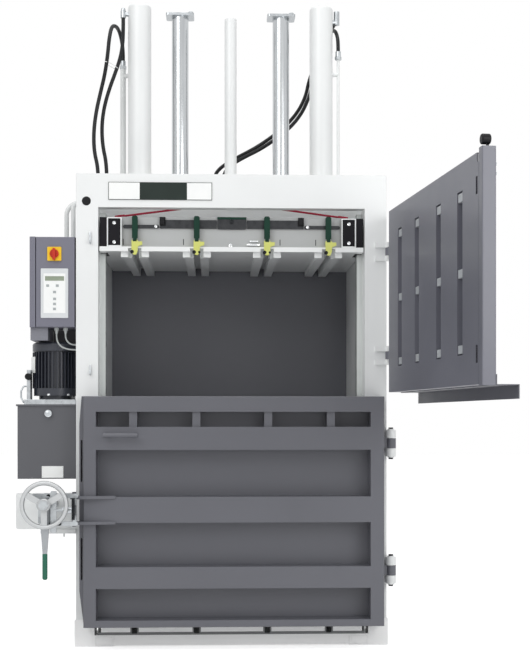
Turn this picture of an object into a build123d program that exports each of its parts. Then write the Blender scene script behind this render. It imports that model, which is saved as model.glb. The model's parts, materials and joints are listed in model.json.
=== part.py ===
"""Vertical recycling baler: a press frame with a feed door, a bale door, a hydraulic
press plate, a power unit with its control box, and a spindle closure.

Millimetres. X runs to the right, Y to the back and Z up. The origin lies on the floor,
in the middle of the four floor anchors. The feed door stands open, the bale door is
shut and the press plate is up.
"""

import os
from math import pi, radians, tan

from build123d import *

os.makedirs("parts", exist_ok=True)

# Clearances
flat_gap = 0.3
running_gap = 0.05
hinge_gap = 1.0

# Press frame
frame_width = 1390.0
frame_depth = 900.0
frame_height = 2110.0
post_width = 98.0
post_depth = 120.0
post_wall = 6.0
header_height = 150.0
header_depth = 60.0
header_wall = 6.0
sheet = 8.0

frame_side = frame_width / 2
frame_front = -frame_depth / 2
frame_back = frame_depth / 2
post_inner = frame_side - post_width
header_bottom = frame_height - header_height

# Feet, base rails and anchors
foot_height = 120.0
foot_proud = 6.0
foot_width = 88.0
anchor_plate = 12.0
anchor_plate_length = 90.0
anchor_hole = 18.0
anchor_inset_x = 3.0
anchor_inset_y = 10.0
rail_width = 85.0
rail_height = 50.0
rail_wall = 6.0
rail_offset = frame_side + foot_proud - foot_width - rail_width / 2
cross_bar_depth = 40.0
cross_bar_lift = 4.0

# Chamber
rear_space = 110.0
chamber_depth = frame_depth - rear_space
floor_top = 110.0
floor_sheet = 6.0
strap_channel = 24.0
strap_inner = 158.0
strap_outer = 435.0
strap_places = (-strap_outer, -strap_inner, strap_inner, strap_outer)
rib_height = 90.0
rib_depth = 58.0
rib_wall = 5.0
rib_count = 5
rib_margin_low = 210.0
rib_margin_high = 250.0
wall_bottom = 100.0
rear_face = frame_front + chamber_depth
wall_height = header_bottom - wall_bottom
rib_pitch = (wall_height - rib_margin_low - rib_margin_high) / (rib_count - 1)
rib_middle = wall_bottom + (wall_height + rib_margin_low - rib_margin_high) / 2

# Guide rails on the side walls
guide_rail_depth = 60.0
guide_rail_thickness = 25.0
guide_rail_setback = 100.0
guide_rail_front = frame_front + guide_rail_setback
guide_rail_bottom = 980.0
guide_rail_end = 10.0
guide_rail_groove = 8.0
guide_rail_top = header_bottom - guide_rail_end

# Crosshead
crosshead_depth = 340.0
crosshead_plate = 30.0
crosshead_web = 12.0
crosshead_ribs = (-530.0, -340.0, -120.0, 120.0, 340.0, 530.0)
side_rail_width = 50.0
crosshead_half = frame_side - side_rail_width

# Cylinders, guide rods and stroke rod
cylinder_offset = 438.0
cylinder_outer = 112.0
cylinder_bore = 90.0
cylinder_height = 895.0
cylinder_cap = 35.0
cylinder_shoulder = 16.0
flange_diameter = 140.0
flange_height = 25.0
gland_height = 40.0
piston_rod = 60.0
piston_height = 35.0
guide_offset = 243.0
guide_rod = 80.0
guide_rod_wall = 9.0
guide_rod_height = 838.0
bushing_diameter = 124.0
bushing_rise = 40.0
stop_length = 134.0
stop_width = 100.0
stop_thickness = 12.0
stop_bolt = 24.0
tube_outer = 58.0
tube_wall = 4.0
tube_height = 834.0
stroke_rod = 12.0
stroke_rod_height = 810.0

cylinder_top = frame_height + cylinder_height
piston_bottom = cylinder_top - cylinder_cap - piston_height
guide_rod_top = frame_height + guide_rod_height
tube_top = frame_height + tube_height
stroke_rod_top = frame_height + stroke_rod_height

# Press plate
plate_height = 160.0
plate_drop = 35.0
plate_base = 30.0
plate_lip = 21.0
plate_setback = 10.0
plate_front = frame_front + plate_setback
plate_rear_gap = 10.0
plate_back = rear_face - plate_rear_gap
plate_side_gap = 5.0
plate_half = post_inner - plate_side_gap
plate_rib = 14.0
fascia_setback = 50.0
fascia_front = frame_front + fascia_setback
fascia_thickness = 8.0
fascia_inset = 100.0
fascia_half = post_inner - fascia_inset
plate_beam_half = 95.0
press_stroke = 780.0
shoe_clearance = 2.0
shoe_drop = 7.0
shoe_cover = 9.0
shoe_corner = 32.0
shoe_block = 54.0
groove_width = 30.0
groove_depth = 14.0
groove_mouth = 60.0
strap_rail_width = 38.0
strap_rail_height = 24.0
strap_rail_wall = 4.0
strap_rail_flare = 40.0
plate_top = header_bottom - plate_drop
plate_bottom = plate_top - plate_height
shoe_top = plate_top - shoe_drop

# Strap levers and clips
lever_width = 26.0
lever_thickness = 10.0
lever_length = 118.0
lever_neck = 17.0
lever_neck_height = 18.0
lever_rise = 43.0
lever_setback = 16.0
lever_barrel = 14.0
lever_pin = 6.0
ear_thickness = 5.0
clip_width = 28.0
clip_drop = 37.0
clip_shoulder = 20.0
clip_thickness = 8.0
clip_hook = 20.0
clip_hook_height = 22.0
lever_pivot_height = plate_bottom + lever_rise
lever_pivot_y = plate_front + lever_setback

# Linkage on the press plate
link_drop = 52.0
link_thickness = 8.0
link_thin = 15.0
link_thick = 38.0
link_gap = 3.0
link_reach = 324.0
link_end = 8.0
centre_plate_width = 130.0
centre_plate_height = 55.0
centre_plate_lift = 3.0
centre_hole = 14.0
pull_cord = 9.0
pull_cord_sleeve = 14.0
pull_cord_start = 30.0
sleeve_length = 44.0
mast_width = 48.0
mast_thickness = 10.0
mast_rise = 79.0
mast_setback = 30.0

# Bale door
door_left_inset = 44.0
door_width_left = -frame_side + door_left_inset
door_right_inset = 25.0
door_right = frame_side - door_right_inset
door_bottom = 101.0
door_top = 1114.0
door_depth = 115.0
door_skin = 8.0
door_sheet = 6.0
stile_left = 54.0
stile_right = 60.0
slot_band = (980.0, 1046.0)
recess_one = (673.0, 879.0)
recess_two = (366.0, 560.0)
recess_three = (132.0, 271.0)
tab_width = 35.0
web_reach = 20.0
web_setback = 25.0
web_slot_length = 184.0
web_slot_width = 8.0
web_slot_heights = (400.0, 830.0)
web_slope_high = 120.0
web_slope_low = 160.0
door_back = frame_front - flat_gap
door_front = door_back - door_depth
handle_left_inset = 132.0
handle_left = -frame_side + handle_left_inset
handle_span = 153.0
handle_right = handle_left + handle_span
handle_lift = 14.5
handle_inset = 22.0
handle_bar = 20.0
handle_leg = 14.0
handle_stand = 45.0
handle_height = (recess_one[1] + slot_band[0]) / 2 + handle_lift

# Bale door hinges
bale_hinge_out = 16.0
bale_hinge_x = frame_side + bale_hinge_out
bale_hinge_ahead = 25.0
bale_hinge_y = frame_front - bale_hinge_ahead
bale_hinge_heights = (338.0, 906.0)
bale_knuckle = 46.0
bale_pin = 22.0
bale_outer_knuckle = 36.0
bale_centre_knuckle = 44.0
leaf_thickness = 10.0
leaf_reach = 90.0
pin_head = 30.0
pin_head_height = 5.0

# Door catch
lug_thickness = 13.0
lug_upper = 665.5
lug_lower = 554.0
lug_past_post = 10.0
lug_left = -frame_side - lug_past_post
lug_length = 194.0
lug_right = lug_left + lug_length
lug_reach = 30.0
lug_tip_depth = 55.0
catch_pin = 18.0
catch_pin_inset = 15.0
catch_pin_x = lug_left + catch_pin_inset
catch_pin_over = 18.0
catch_pin_under = 9.0
catch_head_rim = 5.0
catch_head_height = 8.0

# Closure on the left of the frame
spindle_out = 109.0
spindle_x = -frame_side - spindle_out
spindle_z = 647.0
spindle = 30.0
rear_nut_radius = 23.0
rear_nut_height = 8.0
spindle_past_wheel = 10.0
spindle_setback = 50.0
spindle_back = frame_front + spindle_setback
bracket_out = 266.0
bracket_left = -frame_side - bracket_out
bracket_low = 524.0
bracket_high = 685.0
bracket_thickness = 12.0
bracket_side_depth = 92.0
gusset_thickness = 10.0
gusset_edge = 4.0
ledge_out = 156.0
ledge_left = -frame_side - ledge_out
ledge_height = 19.0
ledge_pin_out = 53.0
ledge_pin_x = -frame_side - ledge_pin_out
ledge_pin = 9.0
ledge_pin_length = 15.0
boss_diameter = 70.0
boss_reach = 60.0
nut_diameter = 60.0
nut_flange = 68.0
nut_ahead = 184.0
nut_front = frame_front - nut_ahead
yoke_thickness = 14.0
yoke_hub = 92.0
yoke_plate = 74.0
arm_height = 19.0
arm_overlap = 26.0
arm_end = -frame_side + arm_overlap
upper_arm_out = 175.0
upper_arm_left = -frame_side - upper_arm_out
lower_arm_out = 122.0
lower_arm_left = -frame_side - lower_arm_out
arm_lift = 9.0
tie_width = 26.0
tie_offset = 34.0
tie_thickness = 12.0
tie_ahead = 190.0
tie_back = frame_front - tie_ahead
tie_over = 14.0
tie_under = 26.0
tie_post = 16.0
toggle_inset = 3.0
toggle_left = -frame_side + toggle_inset
toggle_width = 15.0
block_diameter = 29.0
block_length = 42.0
block_drop = 25.0
toggle_rod = 14.0
ratchet_hub = 54.0
ratchet_thickness = 14.0
ratchet_ahead = 226.0
ratchet_front = frame_front - ratchet_ahead
ratchet_length = 210.0
ratchet_width = 33.0
ratchet_tip = 19.0
ratchet_straight = 116.0
grip_length = 112.0
grip_diameter = 22.0
wheel_diameter = 208.0
wheel_rim = 20.0
wheel_hub = 56.0
wheel_hub_length = 40.0
wheel_spokes = 3
wheel_nut_radius = 22.0
wheel_nut_height = 9.0
spoke_width = 26.0
spoke_thickness = 10.0
wheel_ahead = 248.0
wheel_middle = frame_front - wheel_ahead

# Feed door, in its own plane: from the hinge, outward, up
feed_hinge_out = 4.0
feed_hinge_x = frame_side + feed_hinge_out
feed_hinge_ahead = 12.3
feed_hinge_y = frame_front - feed_hinge_ahead
feed_open_angle = 96.0
feed_near = 70.0
feed_past_post = 3.0
feed_far = frame_width + feed_past_post
feed_inner = -12.0
feed_thickness = 50.0
feed_bottom = 1133.0
feed_drop = 25.0
feed_sheet = 3.0
end_bar_width = 40.0
end_bar_wall = 4.0
corner_notch = 20.0
corner_notch_height = 34.0
end_bar_rise = 12.0
end_bar_under = 4.0
feed_slot_under = 110.0
feed_slot_over = 101.0
feed_slot_width = 64.0
feed_slot_depth = 25.0
insert_length = 30.0
insert_thickness = 22.0
insert_end = 6.0
insert_side = 3.0
feed_knuckle = 22.0
feed_pin = 12.0
feed_outer_knuckle = 24.0
feed_centre_knuckle = 34.0
feed_hinge_low = 167.0
feed_hinge_high = 169.0
feed_leaf = 52.0
feed_leaf_setback = 30.0
slit_inset = 63.0
slit_near = feed_far - slit_inset
slit_width = 20.0
slit_length = 62.0
slit_under = 106.0
slit_over = 112.0
apron_reach = 83.0
apron_sheet = 3.0
apron_drop = 47.0
apron_near = 85.0
apron_leg = 34.0
knob_diameter = 37.0
knob_length = 34.0
knob_rise = 26.0
knob_stem = 10.0
knob_stem_depth = 55.0
feed_top = header_bottom - feed_drop
end_bar_top = feed_top + end_bar_rise
feed_slot_low = feed_bottom + feed_slot_under
feed_slot_high = feed_top - feed_slot_over
feed_hinge_heights = (feed_bottom + feed_hinge_low, feed_top - feed_hinge_high)
slit_middles = (feed_bottom + slit_under, feed_top - slit_over)

# Power unit
tank_out = 263.0
tank_left = -frame_side - tank_out
tank_setback = 20.0
tank_front = frame_front + tank_setback
tank_depth = 350.0
tank_back = tank_front + tank_depth
tank_bottom = 747.0
tank_top = 1072.0
tank_sheet = 3.0
tank_lid = 8.0
tank_lip = 6.0
filler_out = 124.0
filler_x = -frame_side - filler_out
filler_z = 1039.0
filler_diameter = 30.0
filler_reach = 10.0
base_out = 233.0
base_left = -frame_side - base_out
base_depth = 260.0
base_back = tank_front + base_depth
base_height = 22.0
motor_out = 109.0
motor_x = -frame_side - motor_out
motor_setback = 140.0
motor_y = tank_front + motor_setback
motor_core = 176.0
motor_outer = 209.0
motor_foot = 18.0
motor_flange = 34.0
motor_body_top = 1318.0
motor_top = 1361.0
fin_count = 36
fin_thickness = 3.2
bell_diameter = 150.0
terminal_width = 90.0
terminal_depth = 26.0
terminal_height = 84.0
block_width = 18.0
block_depth = 52.0
block_height = 135.0
valve_knob_diameter = 30.0
valve_knob_length = 24.0
valve_stem = 8.0
valve_knob_height = 1206.0
drain_tube = 8.0

# Control box
box_out = 205.0
box_left = -frame_side - box_out
box_setback = 18.0
box_front = frame_front + box_setback
box_depth = 200.0
box_back = box_front + box_depth
box_bottom = 1423.0
box_top = 1826.0
box_sheet = 2.5
strip_width = 25.0
lid_gap = 3.0
lid_depth = 22.0
lid_post_gap = 6.0
lid_right = -frame_side - lid_post_gap
switch_out = 95.0
switch_x = -frame_side - switch_out
switch_z = 1749.0
switch_size = 62.0
switch_thickness = 6.0
switch_disc = 40.0
switch_handle = 54.0
switch_handle_width = 13.0
switch_handle_depth = 20.0
panel_out = 155.0
panel_left = -frame_side - panel_out
panel_span = 121.0
panel_right = panel_left + panel_span
panel_low = 1464.0
panel_high = 1684.0
panel_thickness = 4.0
keypad_inset = 11.0
keypad_depth = 1.5
display_width = 82.0
display_height = 20.0
display_z = 1636.0
key_diameter = 11.0
key_rise = 0.8
gland_outs = (90.0, 50.0)
gland_places = tuple(-frame_side - out for out in gland_outs)
gland_setback = 32.0
gland_y = frame_front + gland_setback
gland_diameter = 22.0
gland_length = 28.0
bracket_side_out = 128.0
bracket_right = -frame_side - bracket_side_out
bracket_bottom = 1366.0
bracket_upright = -140.0

# Hoses, cables and pipes
hose = 18.0
hose_collar = 26.0
hose_collar_length = 34.0
left_pipe = 28.0
left_pipe_x = -522.0
left_pipe_y = 70.0
left_pipe_height = 606.0
right_pipe = 14.0
right_pipe_x = 520.0
right_pipe_y = -10.0
right_pipe_height = 641.0
link_pipe = 20.0
link_pipe_rise = 570.0
left_pipe_top = frame_height + left_pipe_height
right_pipe_top = frame_height + right_pipe_height
saddle_depth = 4.0
supply_pipe = 22.0
supply_bend = 60.0
supply_outs = ((45.0, 300.0), (80.0, 340.0))
supply_places = tuple((-frame_side - out, frame_front + setback) for out, setback in supply_outs)
cable = 7.0


def frame_corner_places(spacing_x, spacing_y):
    """The four corners of a rectangle about the machine's middle."""
    return GridLocations(spacing_x, spacing_y, 2, 2)


# Base rails: two box rails from front to back, joined by three bars
rail_inner = rail_offset - rail_width / 2
with BuildPart() as base_rails:
    with BuildSketch(Plane.XZ.offset(-frame_back)):
        with Locations((-rail_offset, rail_height / 2), (rail_offset, rail_height / 2)):
            Rectangle(rail_width, rail_height)
            Rectangle(rail_width - 2 * rail_wall, rail_height - 2 * rail_wall, mode=Mode.SUBTRACT)
    extrude(amount=frame_depth)
with BuildPart() as cross_bars:
    bar_reach = frame_depth - cross_bar_depth - 2 * rail_wall
    with BuildSketch(Plane.XY.offset(cross_bar_lift)):
        with GridLocations(0, bar_reach / 2, 1, 3):
            Rectangle(2 * rail_inner, cross_bar_depth)
    extrude(amount=rail_height - cross_bar_lift)
base_rails.part = Compound(base_rails.part.solids() + cross_bars.part.solids())

# Feet: a shoe under each post, with an anchor plate towards the middle
foot_x = frame_side + foot_proud - foot_width / 2
foot_depth = post_depth
foot_y = frame_back - foot_depth / 2
anchor_y = frame_back - foot_depth - anchor_plate_length / 2
with BuildPart() as floor_feet:
    with BuildSketch():
        with frame_corner_places(2 * foot_x, 2 * foot_y):
            Rectangle(foot_width, foot_depth)
    extrude(amount=foot_height)
    shoe_edges = floor_feet.edges().filter_by(Axis.Y).group_by(Axis.Z)[-1]
    chamfer(shoe_edges, length=4)
    with BuildSketch():
        with frame_corner_places(2 * foot_x, 2 * anchor_y):
            Rectangle(foot_width, anchor_plate_length)
    extrude(amount=anchor_plate)
    with BuildSketch():
        with frame_corner_places(2 * (foot_x - anchor_inset_x), 2 * (anchor_y - anchor_inset_y)):
            Circle(anchor_hole / 2)
    extrude(amount=anchor_plate, mode=Mode.SUBTRACT)

# Posts: four box columns
with BuildPart() as frame_posts:
    with BuildSketch(Plane.XY.offset(foot_height)):
        with frame_corner_places(2 * (frame_side - post_width / 2), frame_depth - post_depth):
            Rectangle(post_width, post_depth)
            Rectangle(post_width - 2 * post_wall, post_depth - 2 * post_wall, mode=Mode.SUBTRACT)
    extrude(amount=header_bottom - foot_height)

# Top frame: header, rear beam and two side rails, channels that open inwards
beam_z = frame_height - header_height / 2
with BuildPart() as header:
    with Locations((0, frame_front + header_depth / 2, beam_z)):
        Box(frame_width, header_depth, header_height)
    with Locations((0, frame_front + header_depth / 2 + header_wall, beam_z)):
        Box(frame_width - 2 * header_wall, header_depth, header_height - 2 * header_wall,
            mode=Mode.SUBTRACT)
    vertical_edges = header.edges().filter_by(Axis.Z).group_by(Axis.Y)[0]
    fillet(vertical_edges, radius=4)
with BuildPart() as rear_beam:
    with Locations((0, frame_back - header_depth / 2, beam_z)):
        Box(frame_width, header_depth, header_height)
    with Locations((0, frame_back - header_depth / 2 - header_wall, beam_z)):
        Box(frame_width - 2 * header_wall, header_depth, header_height - 2 * header_wall,
            mode=Mode.SUBTRACT)
side_rail_length = frame_depth - 2 * header_depth
with BuildPart() as side_rails:
    with Locations((-(frame_side - side_rail_width / 2), 0, beam_z)):
        Box(side_rail_width, side_rail_length, header_height)
    with Locations((-(frame_side - side_rail_width / 2 - header_wall), 0, beam_z)):
        Box(side_rail_width, side_rail_length, header_height - 2 * header_wall, mode=Mode.SUBTRACT)
    mirror(about=Plane.YZ)
with BuildPart() as top_frame:
    add(header.part)
    add(rear_beam.part)
    add(side_rails.part)
top_frame.part = Compound(header.part.solids() + rear_beam.part.solids() + side_rails.part.solids())

# Side walls: a sheet between the posts with box ribs outside
side_length = frame_depth - 2 * post_depth
with BuildPart() as right_side_wall:
    with BuildSketch(Plane.XZ.offset(-side_length / 2)):
        with Locations((post_inner + sheet / 2, wall_bottom + wall_height / 2)):
            Rectangle(sheet, wall_height)
        with Locations((post_inner + sheet + rib_depth / 2, rib_middle)):
            with GridLocations(0, rib_pitch, 1, rib_count):
                Rectangle(rib_depth, rib_height)
                with Locations((-rib_wall / 2, 0)):
                    Rectangle(rib_depth - rib_wall, rib_height - 2 * rib_wall, mode=Mode.SUBTRACT)
    extrude(amount=side_length)
with BuildPart() as left_side_wall:
    add(mirror(right_side_wall.part, about=Plane.YZ))

# Rear wall: a sheet with strap slots and the same ribs behind it
with BuildPart() as rear_wall:
    with BuildSketch(Plane.YZ.offset(-post_inner)):
        with Locations((rear_face + sheet / 2, wall_bottom + wall_height / 2)):
            Rectangle(sheet, wall_height)
        with Locations((rear_face + sheet + rib_depth / 2, rib_middle)):
            with GridLocations(0, rib_pitch, 1, rib_count):
                Rectangle(rib_depth, rib_height)
                with Locations((-rib_wall / 2, 0)):
                    Rectangle(rib_depth - rib_wall, rib_height - 2 * rib_wall, mode=Mode.SUBTRACT)
    extrude(amount=2 * post_inner)
    slot_bottom = floor_top + 30
    slot_top = plate_bottom - press_stroke + 60
    with BuildSketch(Plane.XZ.offset(-rear_face - sheet)):
        with Locations(*[(x, (slot_bottom + slot_top) / 2) for x in strap_places]):
            SlotOverall(slot_top - slot_bottom, strap_channel, rotation=90)
    extrude(amount=sheet, mode=Mode.SUBTRACT)

# Chamber floor: hollow planks on a base sheet, with a strap channel between each two
floor_base = rail_height + floor_sheet
plank_height = floor_top - floor_base
with BuildPart() as chamber_floor:
    with BuildSketch(Plane.XZ.offset(-rear_face)):
        with Locations((0, rail_height + floor_sheet / 2)):
            Rectangle(2 * post_inner, floor_sheet)
        plank_edges = [-post_inner, *strap_places, post_inner]
        for left, right in zip(plank_edges, plank_edges[1:]):
            plank_left = left if left == -post_inner else left + strap_channel / 2
            plank_right = right if right == post_inner else right - strap_channel / 2
            with Locations(((plank_left + plank_right) / 2, floor_base + plank_height / 2)):
                Rectangle(plank_right - plank_left, plank_height)
                Rectangle(
                    plank_right - plank_left - 2 * floor_sheet,
                    plank_height - 2 * floor_sheet,
                    mode=Mode.SUBTRACT,
                )
    extrude(amount=chamber_depth - flat_gap)

# Guide rails: a grooved strip on each side wall
with BuildPart() as guide_rails:
    with BuildSketch(Plane.XY.offset(guide_rail_bottom)):
        rail_middle = guide_rail_front + guide_rail_depth / 2
        with Locations((post_inner - guide_rail_thickness / 2, rail_middle)):
            Rectangle(guide_rail_thickness, guide_rail_depth)
        with Locations((post_inner - guide_rail_thickness, rail_middle)):
            with GridLocations(0, guide_rail_depth / 3, 1, 2):
                Rectangle(2 * guide_rail_groove, guide_rail_groove, mode=Mode.SUBTRACT)
    extrude(amount=guide_rail_top - guide_rail_bottom)
    mirror(about=Plane.YZ)

# Crosshead: the beam that carries the cylinders, open below
web_height = header_height - crosshead_plate
with BuildPart() as crosshead:
    with BuildSketch(Plane.XY.offset(frame_height - crosshead_plate)):
        Rectangle(2 * crosshead_half, crosshead_depth)
        with GridLocations(2 * cylinder_offset, 0, 2, 1):
            Circle(piston_rod / 2 + 4, mode=Mode.SUBTRACT)
        with GridLocations(2 * guide_offset, 0, 2, 1):
            Circle(bushing_diameter / 2 - 10, mode=Mode.SUBTRACT)
        Circle(stroke_rod / 2 + 2, mode=Mode.SUBTRACT)
    extrude(amount=crosshead_plate)
    with BuildSketch(Plane.XY.offset(header_bottom)):
        with GridLocations(0, crosshead_depth - crosshead_web, 1, 2):
            Rectangle(2 * crosshead_half, crosshead_web)
        with Locations(*[(x, 0) for x in crosshead_ribs]):
            Rectangle(crosshead_web, crosshead_depth)
        with GridLocations(2 * crosshead_half - crosshead_web, 0, 2, 1):
            Rectangle(crosshead_web, crosshead_depth)
    extrude(amount=web_height)

# Cylinder barrels with their flanges
barrel_inner_top = cylinder_top - cylinder_cap
with BuildPart() as cylinder_barrels:
    for side in (-1, 1):
        with BuildSketch(Plane.XZ) as barrel_half:
            with BuildLine():
                Polyline(
                    (side * cylinder_offset + cylinder_bore / 2, frame_height),
                    (side * cylinder_offset + flange_diameter / 2, frame_height),
                    (side * cylinder_offset + flange_diameter / 2, frame_height + flange_height),
                    (side * cylinder_offset + cylinder_outer / 2, frame_height + flange_height),
                    (side * cylinder_offset + cylinder_outer / 2, cylinder_top),
                    (side * cylinder_offset, cylinder_top),
                    (side * cylinder_offset, barrel_inner_top),
                    (side * cylinder_offset + cylinder_bore / 2, barrel_inner_top),
                    close=True,
                )
            make_face()
            shoulder = barrel_half.vertices().group_by(Axis.Y)[-1].sort_by(Axis.X)[-1]
            fillet(shoulder, radius=cylinder_shoulder)
        revolve(axis=Axis((side * cylinder_offset, 0, 0), (0, 0, 1)))

# Rod guides: a gland in each barrel and a bushing for each guide rod
with BuildPart() as rod_glands:
    with BuildSketch(Plane.XY.offset(frame_height)):
        with GridLocations(2 * cylinder_offset, 0, 2, 1):
            Circle(cylinder_bore / 2)
            Circle(piston_rod / 2 + running_gap, mode=Mode.SUBTRACT)
    extrude(amount=gland_height)
    with BuildSketch(Plane.XY.offset(frame_height)):
        with GridLocations(2 * guide_offset, 0, 2, 1):
            Circle(bushing_diameter / 2)
            Circle(guide_rod / 2 + running_gap, mode=Mode.SUBTRACT)
    extrude(amount=bushing_rise)
    collar_edges = rod_glands.edges().filter_by(GeomType.CIRCLE).filter_by(
        lambda edge: abs(edge.radius - bushing_diameter / 2) < 0.1
    ).group_by(Axis.Z)[-1]
    chamfer(collar_edges, length=5)

# Stroke tube: a closed cover tube in the middle
with BuildPart() as stroke_tube:
    with BuildSketch(Plane.XY.offset(frame_height)):
        Circle(tube_outer / 2)
    extrude(amount=tube_top - frame_height)
    with BuildSketch(Plane.XY.offset(frame_height)):
        Circle(tube_outer / 2 - tube_wall)
    extrude(amount=tube_top - frame_height - tube_wall, mode=Mode.SUBTRACT)
    fillet(stroke_tube.edges().filter_by(GeomType.CIRCLE).group_by(Axis.Z)[-1], radius=3)

# Press plate: base plate, fascia, ribs and the beam under the cylinders
notch_inner = post_inner - guide_rail_thickness - shoe_clearance
notch_depth = guide_rail_depth + 60
guide_rail_middle = guide_rail_front + guide_rail_depth / 2
with BuildPart() as platen:
    with BuildSketch(Plane.XY.offset(plate_bottom)):
        with Locations((0, (plate_front + plate_back) / 2)):
            Rectangle(2 * plate_half, plate_back - plate_front)
        with Locations((-plate_half, guide_rail_middle), (plate_half, guide_rail_middle)):
            Rectangle(2 * (plate_half - notch_inner) + 20, notch_depth, mode=Mode.SUBTRACT)
    extrude(amount=plate_base)
    lip_cut = plate_base - plate_lip
    with Locations((0, (plate_front + fascia_front) / 2, plate_bottom + plate_lip + lip_cut / 2)):
        Box(2 * plate_half, fascia_front - plate_front, lip_cut, mode=Mode.SUBTRACT)
    rib_floor = plate_bottom + plate_base
    with BuildSketch(Plane.XY.offset(rib_floor)):
        with Locations((0, fascia_front + fascia_thickness / 2)):
            Rectangle(2 * fascia_half, fascia_thickness)
        Rectangle(2 * (cylinder_offset + 70), 2 * plate_beam_half)
    extrude(amount=plate_top - rib_floor)
    with BuildSketch(Plane.XY.offset(rib_floor)):
        with Locations(*[(x, (fascia_front + plate_back) / 2) for x in strap_places]):
            Rectangle(plate_rib, plate_back - fascia_front)
        with Locations((0, plate_back - plate_rib / 2)):
            Rectangle(2 * fascia_half, plate_rib)
    extrude(amount=plate_top - rib_floor - 30)
    with BuildSketch(Plane.XZ.offset(-plate_back)):
        with Locations(*[(x, plate_bottom) for x in strap_places]):
            Rectangle(groove_width, 2 * groove_depth)
    extrude(amount=plate_back - plate_front, mode=Mode.SUBTRACT)
    rail_front = plate_front + groove_mouth
    rail_span = groove_width + 2 * strap_rail_width
    for strap_x in strap_places:
        with BuildSketch(Plane.XZ.offset(-plate_back)):
            with Locations((strap_x, plate_bottom - strap_rail_height / 2)):
                Rectangle(rail_span, strap_rail_height)
                Rectangle(groove_width, strap_rail_height, mode=Mode.SUBTRACT)
                with GridLocations(groove_width + strap_rail_width, 0, 2, 1):
                    with Locations((0, strap_rail_wall / 2)):
                        Rectangle(
                            strap_rail_width - 2 * strap_rail_wall,
                            strap_rail_height - strap_rail_wall,
                            mode=Mode.SUBTRACT,
                        )
        extrude(amount=plate_back - rail_front)
        for side in (-1, 1):
            mouth_inner = strap_x + side * groove_mouth / 2
            mouth_outer = strap_x + side * (rail_span / 2 + strap_rail_flare / 4)
            with BuildSketch(Plane.XY.offset(plate_bottom - strap_rail_height)):
                with BuildLine():
                    Polyline(
                        (strap_x + side * groove_width / 2, rail_front),
                        (mouth_inner, rail_front - strap_rail_flare),
                        (mouth_outer, rail_front - strap_rail_flare),
                        (strap_x + side * rail_span / 2, rail_front),
                        close=True,
                    )
                make_face()
            extrude(amount=strap_rail_height)
    for strap_x in strap_places:
        with BuildSketch(Plane.XY.offset(plate_bottom)):
            with BuildLine():
                Polyline(
                    (strap_x - groove_mouth / 2, plate_front),
                    (strap_x + groove_mouth / 2, plate_front),
                    (strap_x + groove_width / 2, plate_front + groove_mouth),
                    (strap_x - groove_width / 2, plate_front + groove_mouth),
                    close=True,
                )
            make_face()
        extrude(amount=groove_depth, mode=Mode.SUBTRACT)

# Guide shoes: black blocks round the rails and at the plate's front corners
shoe_seat = plate_bottom + plate_base
with BuildPart() as guide_blocks:
    shoe_inner_x = notch_inner - 10
    shoe_x = (shoe_inner_x + plate_half) / 2
    with BuildSketch(Plane.XY.offset(plate_bottom)):
        with Locations((shoe_x, guide_rail_middle)):
            Rectangle(plate_half - shoe_inner_x, notch_depth)
        rail_slot = (post_inner + notch_inner) / 2
        with Locations((rail_slot, guide_rail_middle)):
            Rectangle(post_inner - notch_inner, guide_rail_depth + 2 * shoe_clearance,
                      mode=Mode.SUBTRACT)
    extrude(amount=plate_base)
    corner_seat = plate_bottom + plate_lip
    corner_y = (plate_front + fascia_front) / 2 + 4
    corner_depth = fascia_front - plate_front - 8
    block_x = fascia_half + 2 + shoe_block / 2
    with BuildSketch(Plane.XY.offset(corner_seat)):
        with Locations((plate_half - shoe_corner / 2, corner_y)):
            Rectangle(shoe_corner, corner_depth)
        with Locations((block_x, corner_y)):
            Rectangle(shoe_block, corner_depth)
    extrude(amount=shoe_top - shoe_cover - corner_seat)
    block_edges = guide_blocks.edges().filter_by(Axis.Z).filter_by_position(
        Axis.Z, corner_seat, shoe_top
    ).group_by(Axis.Y)[0]
    fillet(block_edges, radius=3)
    cover_back = fascia_front + mast_setback
    cover_front = corner_y - corner_depth / 2
    with BuildSketch(Plane.XY.offset(shoe_top - shoe_cover)):
        with Locations((block_x, (cover_front + cover_back) / 2)):
            Rectangle(shoe_block, cover_back - cover_front)
        with Locations((plate_half - shoe_corner / 2, corner_y)):
            Rectangle(shoe_corner, corner_depth)
    extrude(amount=shoe_cover)
    mirror(about=Plane.YZ)
guide_blocks.part = Compound(guide_blocks.part.solids())

# Piston rods with their pistons
with BuildPart() as piston_rods:
    with BuildSketch(Plane.XY.offset(plate_top)):
        with GridLocations(2 * cylinder_offset, 0, 2, 1):
            Circle(piston_rod / 2)
    extrude(amount=piston_bottom - plate_top)
    with BuildSketch(Plane.XY.offset(piston_bottom)):
        with GridLocations(2 * cylinder_offset, 0, 2, 1):
            Circle(cylinder_bore / 2 - running_gap)
    extrude(amount=piston_height)

# Guide rods: chromed tubes, and the thin stroke rod between them
with BuildPart() as guide_rods:
    with BuildSketch(Plane.XY.offset(plate_top)):
        with GridLocations(2 * guide_offset, 0, 2, 1):
            Circle(guide_rod / 2)
            Circle(guide_rod / 2 - guide_rod_wall, mode=Mode.SUBTRACT)
    extrude(amount=guide_rod_top - plate_top)
    with BuildSketch(Plane.XY.offset(plate_top)):
        Circle(stroke_rod / 2)
    extrude(amount=stroke_rod_top - plate_top)

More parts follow.
